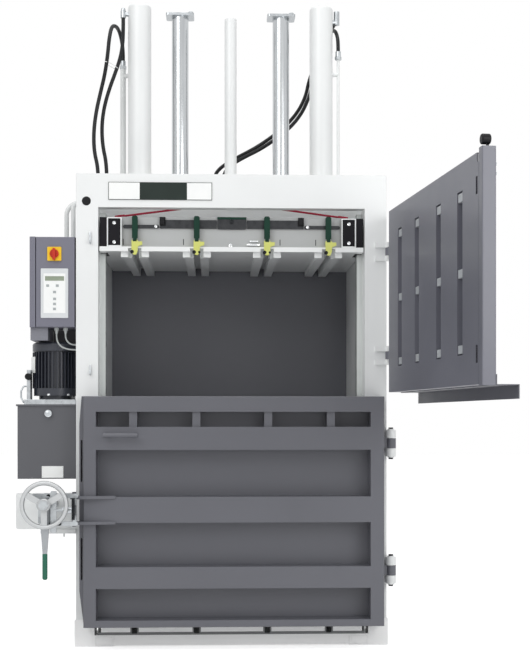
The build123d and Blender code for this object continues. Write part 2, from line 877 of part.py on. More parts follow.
# Stop plates on the guide rods, each with its clamp bolt
with BuildPart() as rod_stops:
    with BuildSketch(Plane.XY.offset(guide_rod_top)):
        with GridLocations(2 * guide_offset, 0, 2, 1):
            RectangleRounded(stop_length, stop_width, radius=12)
    extrude(amount=stop_thickness)
    with BuildSketch(Plane.XY.offset(guide_rod_top + stop_thickness)):
        for stop_x in (-guide_offset, guide_offset):
            with Locations((stop_x + stop_length / 2 - stop_bolt / 2 - 4, 0)):
                RegularPolygon(stop_bolt / 2, 6)
    extrude(amount=18)

# Strap clips: a plate below each lever with two ears and the lever's pin
with BuildPart() as strap_clips:
    for strap_x in strap_places:
        clip_top = plate_bottom + plate_lip
        hook_x = strap_x + clip_width / 2 + clip_hook
        hook_top = clip_top + clip_hook_height
        with BuildSketch(Plane.XZ.offset(-plate_front + flat_gap)):
            with BuildLine():
                Polyline(
                    (strap_x - clip_width / 2, hook_top),
                    (strap_x - clip_width / 2, clip_top - clip_shoulder),
                    (strap_x - clip_width / 4, clip_top - clip_drop),
                    (strap_x + clip_width / 4, clip_top - clip_drop),
                    (strap_x + clip_width / 2, clip_top - clip_shoulder),
                    (strap_x + clip_width / 2, clip_top),
                    (hook_x, clip_top + clip_hook_height / 3),
                    (hook_x, hook_top),
                    close=True,
                )
            make_face()
        extrude(amount=clip_thickness)
        clip_front = plate_front - flat_gap - clip_thickness
        ear_back = lever_pivot_y + 12
        ear_middle = (clip_front + ear_back) / 2
        ear_offset = lever_neck / 2 + ear_thickness / 2 + 0.5
        ear_height = lever_pivot_height + 6 - clip_top
        with BuildSketch(Plane.XY.offset(clip_top)):
            for ear_side in (-1, 1):
                with Locations((strap_x + ear_side * ear_offset, ear_middle)):
                    Rectangle(ear_thickness, ear_back - clip_front)
        extrude(amount=ear_height)
        with BuildSketch(Plane.YZ.offset(strap_x - ear_offset)):
            with Locations((lever_pivot_y, lever_pivot_height)):
                Circle(lever_pin / 2)
        extrude(amount=2 * ear_offset)


def strap_lever_part(strap_x):
    """A strap lever that stands up from its pin, wider above a narrow neck."""
    with BuildPart() as lever:
        with BuildSketch(Plane.YZ.offset(strap_x - lever_neck / 2)):
            with Locations((lever_pivot_y, lever_pivot_height)):
                Circle(lever_barrel / 2)
        extrude(amount=lever_neck)
        with BuildSketch(Plane.XZ.offset(-lever_pivot_y - lever_thickness / 2)):
            with Locations((strap_x, lever_pivot_height + lever_length / 2)):
                Rectangle(lever_neck, lever_length)
            with Locations((strap_x, lever_pivot_height + (lever_neck_height + lever_length) / 2)):
                Rectangle(lever_width, lever_length - lever_neck_height)
        extrude(amount=lever_thickness)
        fillet(lever.edges().filter_by(Axis.Y).group_by(Axis.Z)[-1], radius=lever_width * 0.35)
        with BuildSketch(Plane.YZ.offset(strap_x - lever_width)):
            with Locations((lever_pivot_y, lever_pivot_height)):
                Circle(lever_pin / 2 + running_gap)
        extrude(amount=2 * lever_width, mode=Mode.SUBTRACT)
    return lever


strap_levers = {f"strap_lever_{count}": strap_lever_part(x) for count, x in enumerate(strap_places, 1)}

# Linkage on the press plate's fascia: thin and thick bars and the middle plate
with BuildPart() as linkage_bars:
    link_low = plate_top - link_drop
    thick_near = centre_plate_width / 2 + link_gap
    thin_near = link_reach + link_gap
    thin_far = fascia_half - link_end
    centre_z = link_low - centre_plate_lift + centre_plate_height / 2
    with BuildSketch(Plane.XZ.offset(-fascia_front)):
        with Locations((0, link_low + link_thin / 2)):
            with GridLocations(thin_near + thin_far, 0, 2, 1):
                SlotOverall(thin_far - thin_near, link_thin)
        with Locations((0, link_low + link_thick / 2)):
            with GridLocations(thick_near + link_reach, 0, 2, 1):
                Rectangle(link_reach - thick_near, link_thick)
        with Locations((0, centre_z)):
            RectangleRounded(centre_plate_width, centre_plate_height, radius=6)
        with Locations((0, centre_z + centre_plate_height / 4)):
            Circle(centre_hole / 2, mode=Mode.SUBTRACT)
    extrude(amount=link_thickness)

# Pull cords: from the plate's front corners up to a mast behind the header
mast_y = fascia_front + mast_setback
mast_top = plate_top + mast_rise
cord_low = (
    -fascia_half - pull_cord_start,
    fascia_front + mast_setback / 2,
    shoe_top + pull_cord_sleeve / 2 + flat_gap,
)
cord_high = (-mast_width / 2 - pull_cord / 8, mast_y, mast_top - mast_thickness)
with BuildPart() as pull_cords:
    cord_line = Vector(*cord_high) - Vector(*cord_low)
    with BuildSketch(Plane(origin=cord_low, z_dir=cord_line)):
        Circle(pull_cord / 2)
    extrude(amount=cord_line.length)
    with BuildSketch(Plane(origin=cord_low, z_dir=cord_line)):
        Circle(pull_cord_sleeve / 2)
    extrude(amount=sleeve_length)
    mirror(about=Plane.YZ)
with BuildPart() as cord_mast:
    mast_low = plate_top - 3 * mast_thickness
    with Locations((0, mast_y, (mast_low + mast_top) / 2)):
        Box(mast_width, mast_thickness, mast_top - mast_low)
    fascia_back = fascia_front + fascia_thickness
    mast_back = mast_y + mast_thickness / 2
    with Locations((0, (fascia_back + mast_back) / 2, plate_top - 2 * mast_thickness)):
        Box(mast_width, mast_back - fascia_back, 2 * mast_thickness)

# Bale door: the inner sheet
with BuildPart() as bale_door_panel:
    with BuildSketch(Plane.XZ.offset(-door_back)):
        panel_middle = (door_width_left + door_right) / 2
        with Locations((panel_middle, (door_bottom + door_top) / 2)):
            Rectangle(door_right - door_width_left, door_top - door_bottom)
    extrude(amount=door_skin)


def door_beams(inset):
    """The door's face with its recesses, drawn smaller all round by an inset."""
    middle = (door_width_left + door_right) / 2
    with Locations((middle, (door_bottom + door_top) / 2)):
        Rectangle(
            door_right - door_width_left - 2 * inset,
            door_top - door_bottom - 2 * inset,
        )
    recess_left = door_width_left + stile_left
    recess_right = door_right - stile_right
    for low, high in (slot_band, recess_one, recess_two, recess_three):
        with Locations(((recess_left + recess_right) / 2, (low + high) / 2)):
            Rectangle(
                recess_right - recess_left + 2 * inset, high - low + 2 * inset, mode=Mode.SUBTRACT
            )


# Bale door: stiles and beams, folded sheet that is open towards the inner sheet
beam_depth = door_depth - door_skin
beam_back = door_back - door_skin
with BuildPart() as bale_door_frame:
    with BuildSketch(Plane.XZ.offset(-beam_back)):
        door_beams(0)
    extrude(amount=beam_depth)
    front_edges = bale_door_frame.faces().sort_by(Axis.Y)[0].outer_wire().edges()
    chamfer(front_edges, length=3)
    with BuildSketch(Plane.XZ.offset(-beam_back)):
        door_beams(door_sheet)
    extrude(amount=beam_depth - door_sheet, mode=Mode.SUBTRACT)
    with BuildSketch(Plane.XZ.offset(-beam_back)):
        with Locations(*[(x, (slot_band[0] + slot_band[1]) / 2) for x in strap_places]):
            Rectangle(tab_width, slot_band[1] - slot_band[0] + 2)
    extrude(amount=beam_depth - 12)
    with BuildSketch(Plane.XZ.offset(-beam_back)):
        with BuildLine():
            Polyline(
                (door_width_left, door_top),
                (door_width_left - web_reach / 2, door_top),
                (door_width_left - web_reach, door_top - web_slope_high),
                (door_width_left - web_reach, door_bottom + web_slope_low),
                (door_width_left, door_bottom),
                close=True,
            )
        make_face()
        with Locations(*[(door_width_left - web_reach / 2, z) for z in web_slot_heights]):
            SlotOverall(web_slot_length, web_slot_width, rotation=90, mode=Mode.SUBTRACT)
    extrude(amount=beam_depth - web_setback)
    for hinge_height in bale_hinge_heights:
        with BuildSketch(Plane.XY.offset(hinge_height - bale_centre_knuckle / 2)):
            with Locations((bale_hinge_x, bale_hinge_y)):
                Circle(bale_knuckle / 2)
            with Locations(((door_right + bale_hinge_x) / 2, bale_hinge_y)):
                Rectangle(bale_hinge_x - door_right, 24)
        extrude(amount=bale_centre_knuckle)
        with BuildSketch(Plane.XY.offset(hinge_height - bale_centre_knuckle / 2)):
            with Locations((bale_hinge_x, bale_hinge_y)):
                Circle(bale_pin / 2 + running_gap)
        extrude(amount=bale_centre_knuckle, mode=Mode.SUBTRACT)

# Bale door: bar handle on two legs
with BuildPart() as bale_door_handle:
    with BuildSketch(Plane.YZ.offset(handle_left)):
        with Locations((door_front - handle_stand, handle_height)):
            Circle(handle_bar / 2)
    extrude(amount=handle_right - handle_left)
    fillet(bale_door_handle.edges().filter_by(GeomType.CIRCLE), radius=4)
    with BuildSketch(Plane.XZ.offset(-door_front)):
        with Locations(
            (handle_left + handle_inset, handle_height),
            (handle_right - handle_inset, handle_height),
        ):
            Circle(handle_leg / 2)
    extrude(amount=handle_stand)

# Bale door: two catch lugs with the catch pin through them
lug_front = door_front - lug_reach
with BuildPart() as door_catch:
    for lug_z in (lug_lower, lug_upper):
        with BuildSketch(Plane.XY.offset(lug_z)):
            with BuildLine():
                Polyline(
                    (lug_left, lug_front),
                    (door_width_left - web_reach + 40, lug_front),
                    (lug_right, door_front - 4),
                    (lug_right, door_front),
                    (door_width_left - web_reach - flat_gap, door_front),
                    (door_width_left - web_reach - flat_gap, lug_front + lug_tip_depth),
                    (lug_left, lug_front + lug_tip_depth),
                    close=True,
                )
            make_face()
        extrude(amount=lug_thickness)
    with BuildSketch(Plane.XY.offset(lug_lower - catch_pin_under)):
        with Locations((catch_pin_x, lug_front + lug_tip_depth / 2)):
            Circle(catch_pin / 2)
    extrude(amount=lug_upper + lug_thickness + catch_pin_over - lug_lower + catch_pin_under)
    with BuildSketch(Plane.XY.offset(lug_upper + lug_thickness)):
        with Locations((catch_pin_x, lug_front + lug_tip_depth / 2)):
            Circle(catch_pin / 2 + catch_head_rim)
    extrude(amount=catch_head_height)

# Frame halves of all door hinges, with their pins
with BuildPart() as frame_hinges:
    bale_stack = bale_centre_knuckle / 2 + hinge_gap + bale_outer_knuckle
    for hinge_height in bale_hinge_heights:
        with BuildSketch(Plane.XY.offset(hinge_height - bale_stack)):
            with Locations((bale_hinge_x, bale_hinge_y)):
                Circle(bale_pin / 2)
        extrude(amount=2 * bale_stack)
        for end_low in (
            hinge_height - bale_stack,
            hinge_height + bale_centre_knuckle / 2 + hinge_gap,
        ):
            with BuildSketch(Plane.XY.offset(end_low)):
                with Locations((bale_hinge_x, bale_hinge_y)):
                    Circle(bale_knuckle / 2)
                leaf_back = bale_hinge_y + leaf_reach
                with Locations((frame_side + leaf_thickness / 2, (bale_hinge_y + leaf_back) / 2)):
                    Rectangle(leaf_thickness, leaf_reach)
            extrude(amount=bale_outer_knuckle)
        with BuildSketch(Plane.XY.offset(hinge_height - bale_stack)):
            leaf_front = frame_front + 8
            with Locations((frame_side + leaf_thickness / 2, (leaf_front + leaf_back) / 2)):
                Rectangle(leaf_thickness, leaf_back - leaf_front)
        extrude(amount=2 * bale_stack)
        with BuildSketch(Plane.XY.offset(hinge_height - bale_stack - pin_head_height)):
            with Locations((bale_hinge_x, bale_hinge_y)):
                Circle(pin_head / 2)
        extrude(amount=pin_head_height)
        with BuildSketch(Plane.XY.offset(hinge_height + bale_stack)):
            with Locations((bale_hinge_x, bale_hinge_y)):
                Circle(pin_head / 2)
        extrude(amount=pin_head_height)
    feed_stack = feed_centre_knuckle / 2 + hinge_gap + feed_outer_knuckle
    for hinge_height in feed_hinge_heights:
        with BuildSketch(Plane.XY.offset(hinge_height - feed_stack)):
            with Locations((feed_hinge_x, feed_hinge_y)):
                Circle(feed_pin / 2)
        extrude(amount=2 * feed_stack)
        for end_low in (
            hinge_height - feed_stack,
            hinge_height + feed_centre_knuckle / 2 + hinge_gap,
        ):
            with BuildSketch(Plane.XY.offset(end_low)):
                with Locations((feed_hinge_x, feed_hinge_y)):
                    Circle(feed_knuckle / 2)
                with Locations((feed_hinge_x - feed_leaf_setback, (frame_front + feed_hinge_y) / 2)):
                    Rectangle(feed_leaf, frame_front - feed_hinge_y)
            extrude(amount=feed_outer_knuckle)
frame_hinges.part = Compound(frame_hinges.part.solids())

# Feed door: a folded sheet door with strap grooves, an end bar and hinge straps
closed_direction = 180.0
feed_plane = Plane(
    origin=(feed_hinge_x, feed_hinge_y, 0),
    x_dir=Vector(1, 0, 0).rotate(Axis.Z, closed_direction + feed_open_angle),
    z_dir=(0, 0, 1),
)
feed_outer = feed_inner + feed_thickness
feed_strap_places = [feed_hinge_x - x for x in reversed(strap_places)]
bar_near = feed_far - end_bar_width
feed_inner_plane = Plane(
    origin=feed_plane.from_local_coords(Vector(0, feed_inner, 0)),
    x_dir=feed_plane.x_dir,
    z_dir=-feed_plane.y_dir,
)
feed_core_u = (feed_near + bar_near) / 2
feed_length = bar_near - feed_near
feed_middle = (feed_bottom + feed_top) / 2
slot_middle = (feed_slot_low + feed_slot_high) / 2
slot_length = feed_slot_high - feed_slot_low
with BuildPart() as feed_door:
    with BuildSketch(feed_inner_plane):
        with Locations((feed_core_u, feed_middle)):
            Rectangle(feed_length, feed_top - feed_bottom)
    extrude(amount=-feed_thickness)
    with BuildSketch(feed_inner_plane.offset(-feed_sheet)):
        with Locations((feed_core_u, feed_middle)):
            Rectangle(feed_length - 2 * feed_sheet, feed_top - feed_bottom - 2 * feed_sheet)
    extrude(amount=-feed_thickness, mode=Mode.SUBTRACT)
    with BuildSketch(feed_inner_plane):
        with Locations(*[(u, slot_middle) for u in feed_strap_places]):
            Rectangle(feed_slot_width + 2 * feed_sheet, slot_length + 2 * feed_sheet)
    extrude(amount=-feed_slot_depth - feed_sheet)
    with BuildSketch(feed_inner_plane):
        with Locations(*[(u, slot_middle) for u in feed_strap_places]):
            Rectangle(feed_slot_width, slot_length)
    extrude(amount=-feed_slot_depth, mode=Mode.SUBTRACT)
    with BuildSketch(feed_inner_plane):
        with Locations(*[(slit_near, middle) for middle in slit_middles]):
            Rectangle(slit_width, slit_length)
        with Locations((bar_near - corner_notch / 2, feed_top - corner_notch_height / 2)):
            Rectangle(corner_notch, corner_notch_height)
    extrude(amount=-feed_thickness, mode=Mode.SUBTRACT)
    with BuildSketch(feed_plane.offset(feed_bottom - end_bar_under)):
        with Locations(((bar_near + feed_far) / 2, feed_inner + feed_thickness / 2)):
            RectangleRounded(end_bar_width, feed_thickness, radius=4)
            Rectangle(
                end_bar_width - 2 * end_bar_wall, feed_thickness - 2 * end_bar_wall, mode=Mode.SUBTRACT
            )
    extrude(amount=end_bar_top - end_bar_wall - feed_bottom + end_bar_under)
    with BuildSketch(feed_plane.offset(end_bar_top - end_bar_wall)):
        with Locations(((bar_near + feed_far) / 2, feed_inner + feed_thickness / 2)):
            RectangleRounded(end_bar_width, feed_thickness, radius=4)
    extrude(amount=end_bar_wall)
    for hinge_height in feed_hinge_heights:
        with BuildSketch(feed_plane.offset(hinge_height - feed_centre_knuckle / 2)):
            Circle(feed_knuckle / 2)
            with Locations((feed_near / 2, 0)):
                Rectangle(feed_near + 1, 10)
        extrude(amount=feed_centre_knuckle)
        with BuildSketch(feed_plane.offset(hinge_height - feed_centre_knuckle / 2)):
            Circle(feed_pin / 2 + running_gap)
        extrude(amount=feed_centre_knuckle, mode=Mode.SUBTRACT)
    bar_middle = (bar_near + feed_far) / 2
    knob_v = feed_inner + feed_thickness / 2
    with BuildSketch(feed_plane.offset(end_bar_top - knob_stem_depth)):
        with Locations((bar_middle, knob_v)):
            Circle(knob_stem / 2 + running_gap)
    extrude(amount=knob_stem_depth + 2, mode=Mode.SUBTRACT)

# Light inserts in the feed door's strap grooves
insert_reach = insert_length / 2 + insert_end
insert_heights = (feed_slot_low + insert_reach, slot_middle, feed_slot_high - insert_reach)
with BuildPart() as feed_door_inserts:
    with BuildSketch(feed_inner_plane.offset(-feed_slot_depth)):
        for insert_height in insert_heights:
            with Locations(*[(u, insert_height) for u in feed_strap_places]):
                Rectangle(feed_slot_width - 2 * insert_side, insert_length)
    extrude(amount=insert_thickness)
feed_door_inserts.part = Compound(feed_door_inserts.part.solids())

# Apron on the feed door's outer side, bent down over the bale door's top edge
apron_plane = Plane(
    origin=feed_plane.from_local_coords(Vector(apron_near, 0, 0)),
    x_dir=feed_plane.y_dir,
    z_dir=feed_plane.x_dir,
)
apron_edge = feed_outer + apron_reach
with BuildPart() as feed_door_apron:
    with BuildSketch(apron_plane):
        with BuildLine():
            Polyline(
                (feed_outer, feed_bottom + apron_leg),
                (feed_outer, feed_bottom - apron_sheet),
                (apron_edge - apron_sheet, feed_bottom - apron_sheet),
                (apron_edge - apron_sheet, feed_bottom - apron_drop - apron_sheet),
                (apron_edge, feed_bottom - apron_drop - apron_sheet),
                (apron_edge, feed_bottom),
                (feed_outer + apron_sheet, feed_bottom),
                (feed_outer + apron_sheet, feed_bottom + apron_leg),
                close=True,
            )
        make_face()
    extrude(amount=feed_far - apron_near)

# Latch knob above the feed door's end bar: a cross grip on an upright stem
with BuildPart() as feed_latch_knob:
    stem_plane = feed_plane.offset(end_bar_top - knob_stem_depth + flat_gap)
    with BuildSketch(stem_plane):
        with Locations((bar_middle, knob_v)):
            Circle(knob_stem / 2)
    extrude(amount=knob_stem_depth + knob_rise)
    knob_start = Vector(bar_middle, knob_v + knob_stem - knob_length, end_bar_top + knob_rise)
    knob_plane = Plane(
        origin=feed_plane.from_local_coords(knob_start), x_dir=feed_plane.x_dir, z_dir=feed_plane.y_dir
    )
    with BuildSketch(knob_plane):
        Circle(knob_diameter / 2)
    extrude(amount=knob_length)
    knob_edges = feed_latch_knob.edges().filter_by(GeomType.CIRCLE).filter_by(
        lambda edge: abs(edge.radius - knob_diameter / 2) < 0.1
    )
    fillet(knob_edges, radius=knob_diameter / 6)

# Closure bracket: plate, spindle boss, side plate and gussets, with a ledge under it
spindle_plane = Plane(origin=(spindle_x, 0, spindle_z), x_dir=(1, 0, 0), z_dir=(0, -1, 0))
bracket_back = frame_front + bracket_thickness
bracket_middle = (bracket_low + bracket_high) / 2
bracket_height = bracket_high - bracket_low
with BuildPart() as closure_bracket:
    with BuildSketch(Plane.XZ.offset(-bracket_back)):
        with Locations(((bracket_left - frame_side) / 2, bracket_middle)):
            RectangleRounded(-bracket_left - frame_side, bracket_height, radius=10)
        with Locations((-frame_side - 10, bracket_middle)):
            Rectangle(20, bracket_height)
    extrude(amount=bracket_thickness)
    with BuildSketch(spindle_plane.offset(-frame_front)):
        Circle(boss_diameter / 2)
    extrude(amount=boss_reach)
    with BuildSketch(spindle_plane.offset(-bracket_back - 30)):
        Circle(boss_diameter / 2)
    extrude(amount=30)
    side_middle = bracket_back + bracket_side_depth / 2
    with Locations((-frame_side - gusset_thickness / 2, side_middle, bracket_middle)):
        Box(gusset_thickness, bracket_side_depth, bracket_height)
    for gusset_z in (bracket_low + gusset_edge, bracket_high - gusset_edge - gusset_thickness):
        with BuildSketch(Plane.XY.offset(gusset_z)):
            with BuildLine():
                Polyline(
                    (-frame_side, bracket_back),
                    (bracket_left + 30, bracket_back),
                    (-frame_side, bracket_back + bracket_side_depth),
                    close=True,
                )
            make_face()
        extrude(amount=gusset_thickness)
    ledge_x = (ledge_left - frame_side) / 2
    with Locations((ledge_x, frame_front, bracket_low - ledge_height / 2)):
        Box(-frame_side - ledge_left, 2 * bracket_thickness, ledge_height)
    with BuildSketch(Plane.XY.offset(bracket_low - ledge_height)):
        with Locations((ledge_pin_x, frame_front)):
            Circle(ledge_pin / 2)
    extrude(amount=-ledge_pin_length)
    with BuildSketch(spindle_plane.offset(-spindle_back - 60)):
        Circle(spindle / 2 + running_gap)
    extrude(amount=300, mode=Mode.SUBTRACT)

# Spindle nut: slides along the spindle as it turns and carries the yoke
yoke_back = lug_front - flat_gap
yoke_front = yoke_back - yoke_thickness
with BuildPart() as spindle_nut:
    with BuildSketch(spindle_plane.offset(-yoke_back - 6)):
        Circle(nut_diameter / 2)
    extrude(amount=-nut_front + yoke_back + 6)
    with BuildSketch(spindle_plane.offset(-yoke_front + 1)):
        Circle(nut_flange / 2)
    extrude(amount=8)
    with BuildSketch(spindle_plane):
        Circle(spindle / 2 + running_gap)
    extrude(amount=-nut_front + 20, mode=Mode.SUBTRACT)

# Closure yoke: hub, two arms over the catch lugs, the tie bar in front and its toggle
upper_arm_z = lug_upper + lug_thickness / 2 + arm_lift
lower_arm_z = lug_lower + lug_thickness / 2
tie_x = spindle_x + tie_offset
tie_low = lower_arm_z - arm_height / 2 - tie_under
tie_high = upper_arm_z + arm_height / 2 + tie_over
tie_front = tie_back - tie_thickness
with BuildPart() as closure_yoke:
    with BuildSketch(Plane.XZ.offset(-yoke_back)):
        for arm_left, arm_z in ((upper_arm_left, upper_arm_z), (lower_arm_left, lower_arm_z)):
            with Locations(((arm_left + arm_end) / 2, arm_z)):
                SlotOverall(arm_end - arm_left, arm_height)
        with Locations((spindle_x, (upper_arm_z + lower_arm_z) / 2)):
            RectangleRounded(yoke_plate, upper_arm_z - lower_arm_z, radius=8)
        with Locations((spindle_x, spindle_z)):
            Circle(yoke_hub / 2)
    extrude(amount=yoke_thickness)
    with BuildSketch(Plane.XZ.offset(-yoke_front)):
        with Locations((tie_x, upper_arm_z), (tie_x, lower_arm_z)):
            Circle(tie_post / 2)
    extrude(amount=yoke_front - tie_back)
    with BuildSketch(Plane.XZ.offset(-tie_back)):
        with Locations((tie_x, (tie_low + tie_high) / 2)):
            RectangleRounded(tie_width, tie_high - tie_low, radius=5)
    extrude(amount=tie_thickness)
    toggle_x = toggle_left + toggle_width / 2
    with BuildSketch(Plane.YZ.offset(toggle_left)):
        with Locations(((yoke_back + yoke_front) / 2, (upper_arm_z + lower_arm_z) / 2)):
            Rectangle(yoke_thickness, upper_arm_z - lower_arm_z)
        toggle_z = spindle_z - block_drop
        with Locations(((yoke_back + tie_front) / 2, toggle_z)):
            Rectangle(yoke_back - tie_front, block_diameter + 12)
    extrude(amount=toggle_width)
    toggle_y = tie_back - tie_thickness / 2
    with BuildSketch(Plane.YZ.offset(toggle_left - block_length)):
        with Locations((toggle_y, toggle_z)):
            Circle(block_diameter / 2)
    extrude(amount=block_length)
    with BuildSketch(Plane.YZ.offset(tie_x)):
        with Locations((toggle_y, toggle_z)):
            Circle(toggle_rod / 2)
    extrude(amount=toggle_left - block_length - tie_x)
    with BuildSketch(spindle_plane):
        Circle(nut_diameter / 2 + running_gap)
    extrude(amount=-yoke_front + 2, mode=Mode.SUBTRACT)

# Ratchet lever: a hub on the spindle and a tapered arm that hangs down
with BuildPart() as ratchet_lever:
    ratchet_plane = spindle_plane.offset(-ratchet_front - ratchet_thickness)
    with BuildSketch(ratchet_plane):
        Circle(ratchet_hub / 2)
        with BuildLine():
            Polyline(
                (-ratchet_width / 2, 0),
                (-ratchet_width / 2, -ratchet_straight),
                (-ratchet_tip / 2, -ratchet_length),
                (ratchet_tip / 2, -ratchet_length),
                (ratchet_width / 2, -ratchet_straight),
                (ratchet_width / 2, 0),
                close=True,
            )
        make_face()
        Circle(spindle / 2 + running_gap, mode=Mode.SUBTRACT)
    extrude(amount=ratchet_thickness)

# Green grip on the ratchet lever
with BuildPart() as lever_grip:
    grip_plane = Plane.XY.offset(spindle_z - ratchet_length)
    with BuildSketch(grip_plane):
        with Locations((spindle_x, ratchet_front + ratchet_thickness / 2)):
            Circle(grip_diameter / 2)
    extrude(amount=-grip_length)
    fillet(lever_grip.edges().group_by(Axis.Z)[0], radius=grip_diameter * 0.38)
    fillet(lever_grip.edges().group_by(Axis.Z)[-1], radius=grip_diameter * 0.12)

# Handwheel: rim, spokes and hub
wheel_back = wheel_middle + wheel_hub_length / 2
with BuildPart() as handwheel:
    with BuildSketch(spindle_plane.offset(-wheel_back)):
        Circle(wheel_hub / 2)
        Circle(spindle / 2, mode=Mode.SUBTRACT)
    extrude(amount=wheel_hub_length)
    hub_edges = handwheel.edges().filter_by(GeomType.CIRCLE).filter_by(
        lambda edge: abs(edge.radius - wheel_hub / 2) < 0.1
    )
    chamfer(hub_edges, length=4)
    rim_radius = wheel_diameter / 2 - wheel_rim / 2
    rim_start = (spindle_x + rim_radius, wheel_middle, spindle_z)
    with BuildSketch(Plane(origin=rim_start, x_dir=(1, 0, 0), z_dir=(0, 0, 1))):
        Circle(wheel_rim / 2)
    revolve(axis=Axis((spindle_x, wheel_middle, spindle_z), (0, 1, 0)))
    spoke_length = rim_radius - wheel_hub / 2 + 6
    spoke_middle = wheel_hub / 2 - 4 + spoke_length / 2
    with BuildSketch(spindle_plane.offset(-wheel_middle - spoke_thickness / 2)):
        with PolarLocations(spoke_middle, wheel_spokes, start_angle=30):
            Rectangle(spoke_length, spoke_width)
    extrude(amount=spoke_thickness)

# Spindle with its nut behind the bracket
wheel_front = wheel_middle - wheel_hub_length / 2
with BuildPart() as spindle_rod:
    with BuildSketch(spindle_plane.offset(-spindle_back)):
        Circle(spindle / 2)
    extrude(amount=-wheel_front + spindle_back + spindle_past_wheel)
    with BuildSketch(spindle_plane.offset(-spindle_back)):
        RegularPolygon(rear_nut_radius, 6)
    extrude(amount=-rear_nut_height)
with BuildPart() as wheel_nut:
    with BuildSketch(spindle_plane.offset(-wheel_front)):
        RegularPolygon(wheel_nut_radius, 6)
        Circle(spindle / 2, mode=Mode.SUBTRACT)
    extrude(amount=wheel_nut_height)

# Oil tank with its lid and the filler boss
with BuildPart() as oil_tank:
    tank_width = -frame_side - tank_left
    tank_x = (tank_left - frame_side) / 2
    tank_y = (tank_front + tank_back) / 2
    with BuildSketch(Plane.XY.offset(tank_bottom)):
        with Locations((tank_x, tank_y)):
            Rectangle(tank_width, tank_back - tank_front)
    extrude(amount=tank_top - tank_bottom)
    fillet(oil_tank.edges().filter_by(Axis.Z), radius=8)
    tank_opening = oil_tank.faces().sort_by(Axis.Z)[-1]
    offset(amount=-tank_sheet, openings=tank_opening)
    filler_plane = Plane(origin=(filler_x, tank_front, filler_z), x_dir=(1, 0, 0), z_dir=(0, -1, 0))
    with BuildSketch(filler_plane):
        Circle(filler_diameter / 2)
    extrude(amount=filler_reach)
with BuildPart() as tank_cover:
    with BuildSketch(Plane.XY.offset(tank_top)):
        with Locations((tank_x - tank_lip / 2, tank_y)):
            RectangleRounded(tank_width + tank_lip, tank_back - tank_front + 2 * tank_lip, radius=8)
    extrude(amount=tank_lid)
oil_tank.part = Compound(oil_tank.part.solids() + tank_cover.part.solids())
unit_seat = tank_top + tank_lid

# Pump base plate on the tank lid
with BuildPart() as pump_base:
    with BuildSketch(Plane.XY.offset(unit_seat)):
        base_width = -frame_side - base_left
        base_depth = base_back - tank_front
        with Locations(((base_left - frame_side) / 2, (tank_front + base_back) / 2)):
            RectangleRounded(base_width, base_depth, radius=6)
    extrude(amount=base_height)
    chamfer(pump_base.edges().group_by(Axis.Z)[-1], length=1.5)
motor_seat = unit_seat + base_height

# Motor: bell, flange, finned body, fan cowl and terminal box
flange_low = motor_seat + motor_foot
body_low = flange_low + motor_flange
cowl_low = motor_body_top + 4
with BuildPart() as motor:
    with BuildSketch(Plane.XY.offset(motor_seat)):
        with Locations((motor_x, motor_y)):
            Circle(bell_diameter / 2)
    extrude(amount=motor_foot)
    with BuildSketch(Plane.XY.offset(flange_low)):
        with Locations((motor_x, motor_y)):
            Circle(motor_outer / 2 - 6)
    extrude(amount=motor_flange)
    with BuildSketch(Plane.XY.offset(body_low)):
        with Locations((motor_x, motor_y)):
            Circle(motor_core / 2)
            with PolarLocations(motor_core / 2, fin_count):
                Rectangle(motor_outer - motor_core, fin_thickness)
    extrude(amount=motor_body_top - body_low)
    with BuildSketch(Plane.XY.offset(motor_body_top)):
        with Locations((motor_x, motor_y)):
            Circle(motor_core / 2)
    extrude(amount=cowl_low - motor_body_top)
    with BuildSketch(Plane.XY.offset(cowl_low)):
        with Locations((motor_x, motor_y)):
            Circle(motor_outer / 2)
    extrude(amount=motor_top - cowl_low)
    cowl_edge = motor.edges().filter_by(GeomType.CIRCLE).group_by(Axis.Z)[-1]
    fillet(cowl_edge, radius=12)
    with BuildSketch(Plane.XY.offset(motor_top)):
        with Locations((motor_x, motor_y)):
            for ring in (35, 55, 75):
                with PolarLocations(ring, 8 + ring // 10):
                    Circle(5)
    extrude(amount=-6, mode=Mode.SUBTRACT)
    terminal_y = motor_y + motor_outer / 2 + terminal_depth / 2 - 14
    with Locations((motor_x, terminal_y, (body_low + motor_body_top) / 2 + 20)):
        Box(terminal_width, terminal_depth + 24, terminal_height)

# Valve block beside the motor, with its drain tube
valve_x = base_left + block_width / 2
valve_y = motor_y - 30
with BuildPart() as valve_body:
    with Locations((valve_x, valve_y, motor_seat + block_height / 2)):
        Box(block_width, block_depth, block_height)
    chamfer(valve_body.edges().filter_by(Axis.Z), length=2)
    valve_plane = Plane(
        origin=(valve_x, valve_y - block_depth / 2, valve_knob_height), x_dir=(1, 0, 0), z_dir=(0, -1, 0)
    )
    with BuildSketch(valve_plane):
        Circle(valve_stem / 2 + running_gap)
    extrude(amount=-20, mode=Mode.SUBTRACT)
drain_points = [
    (base_left, valve_y, motor_seat + 62),
    (base_left - 18, valve_y, motor_seat + 62),
    (base_left - 29, valve_y - 2, motor_seat + 40),
    (base_left - 29, valve_y - 2, motor_seat + 10),
    (base_left - 18, valve_y, motor_seat - 12),
    (base_left, valve_y, motor_seat - 12),
]
with BuildPart() as drain:
    with BuildLine():
        FilletPolyline(*drain_points, radius=10)
    with BuildSketch(Plane(origin=drain_points[0], z_dir=(-1, 0, 0))):
        Circle(drain_tube / 2)
    sweep()
valve_block_part = Compound(valve_body.part.solids() + drain.part.solids())

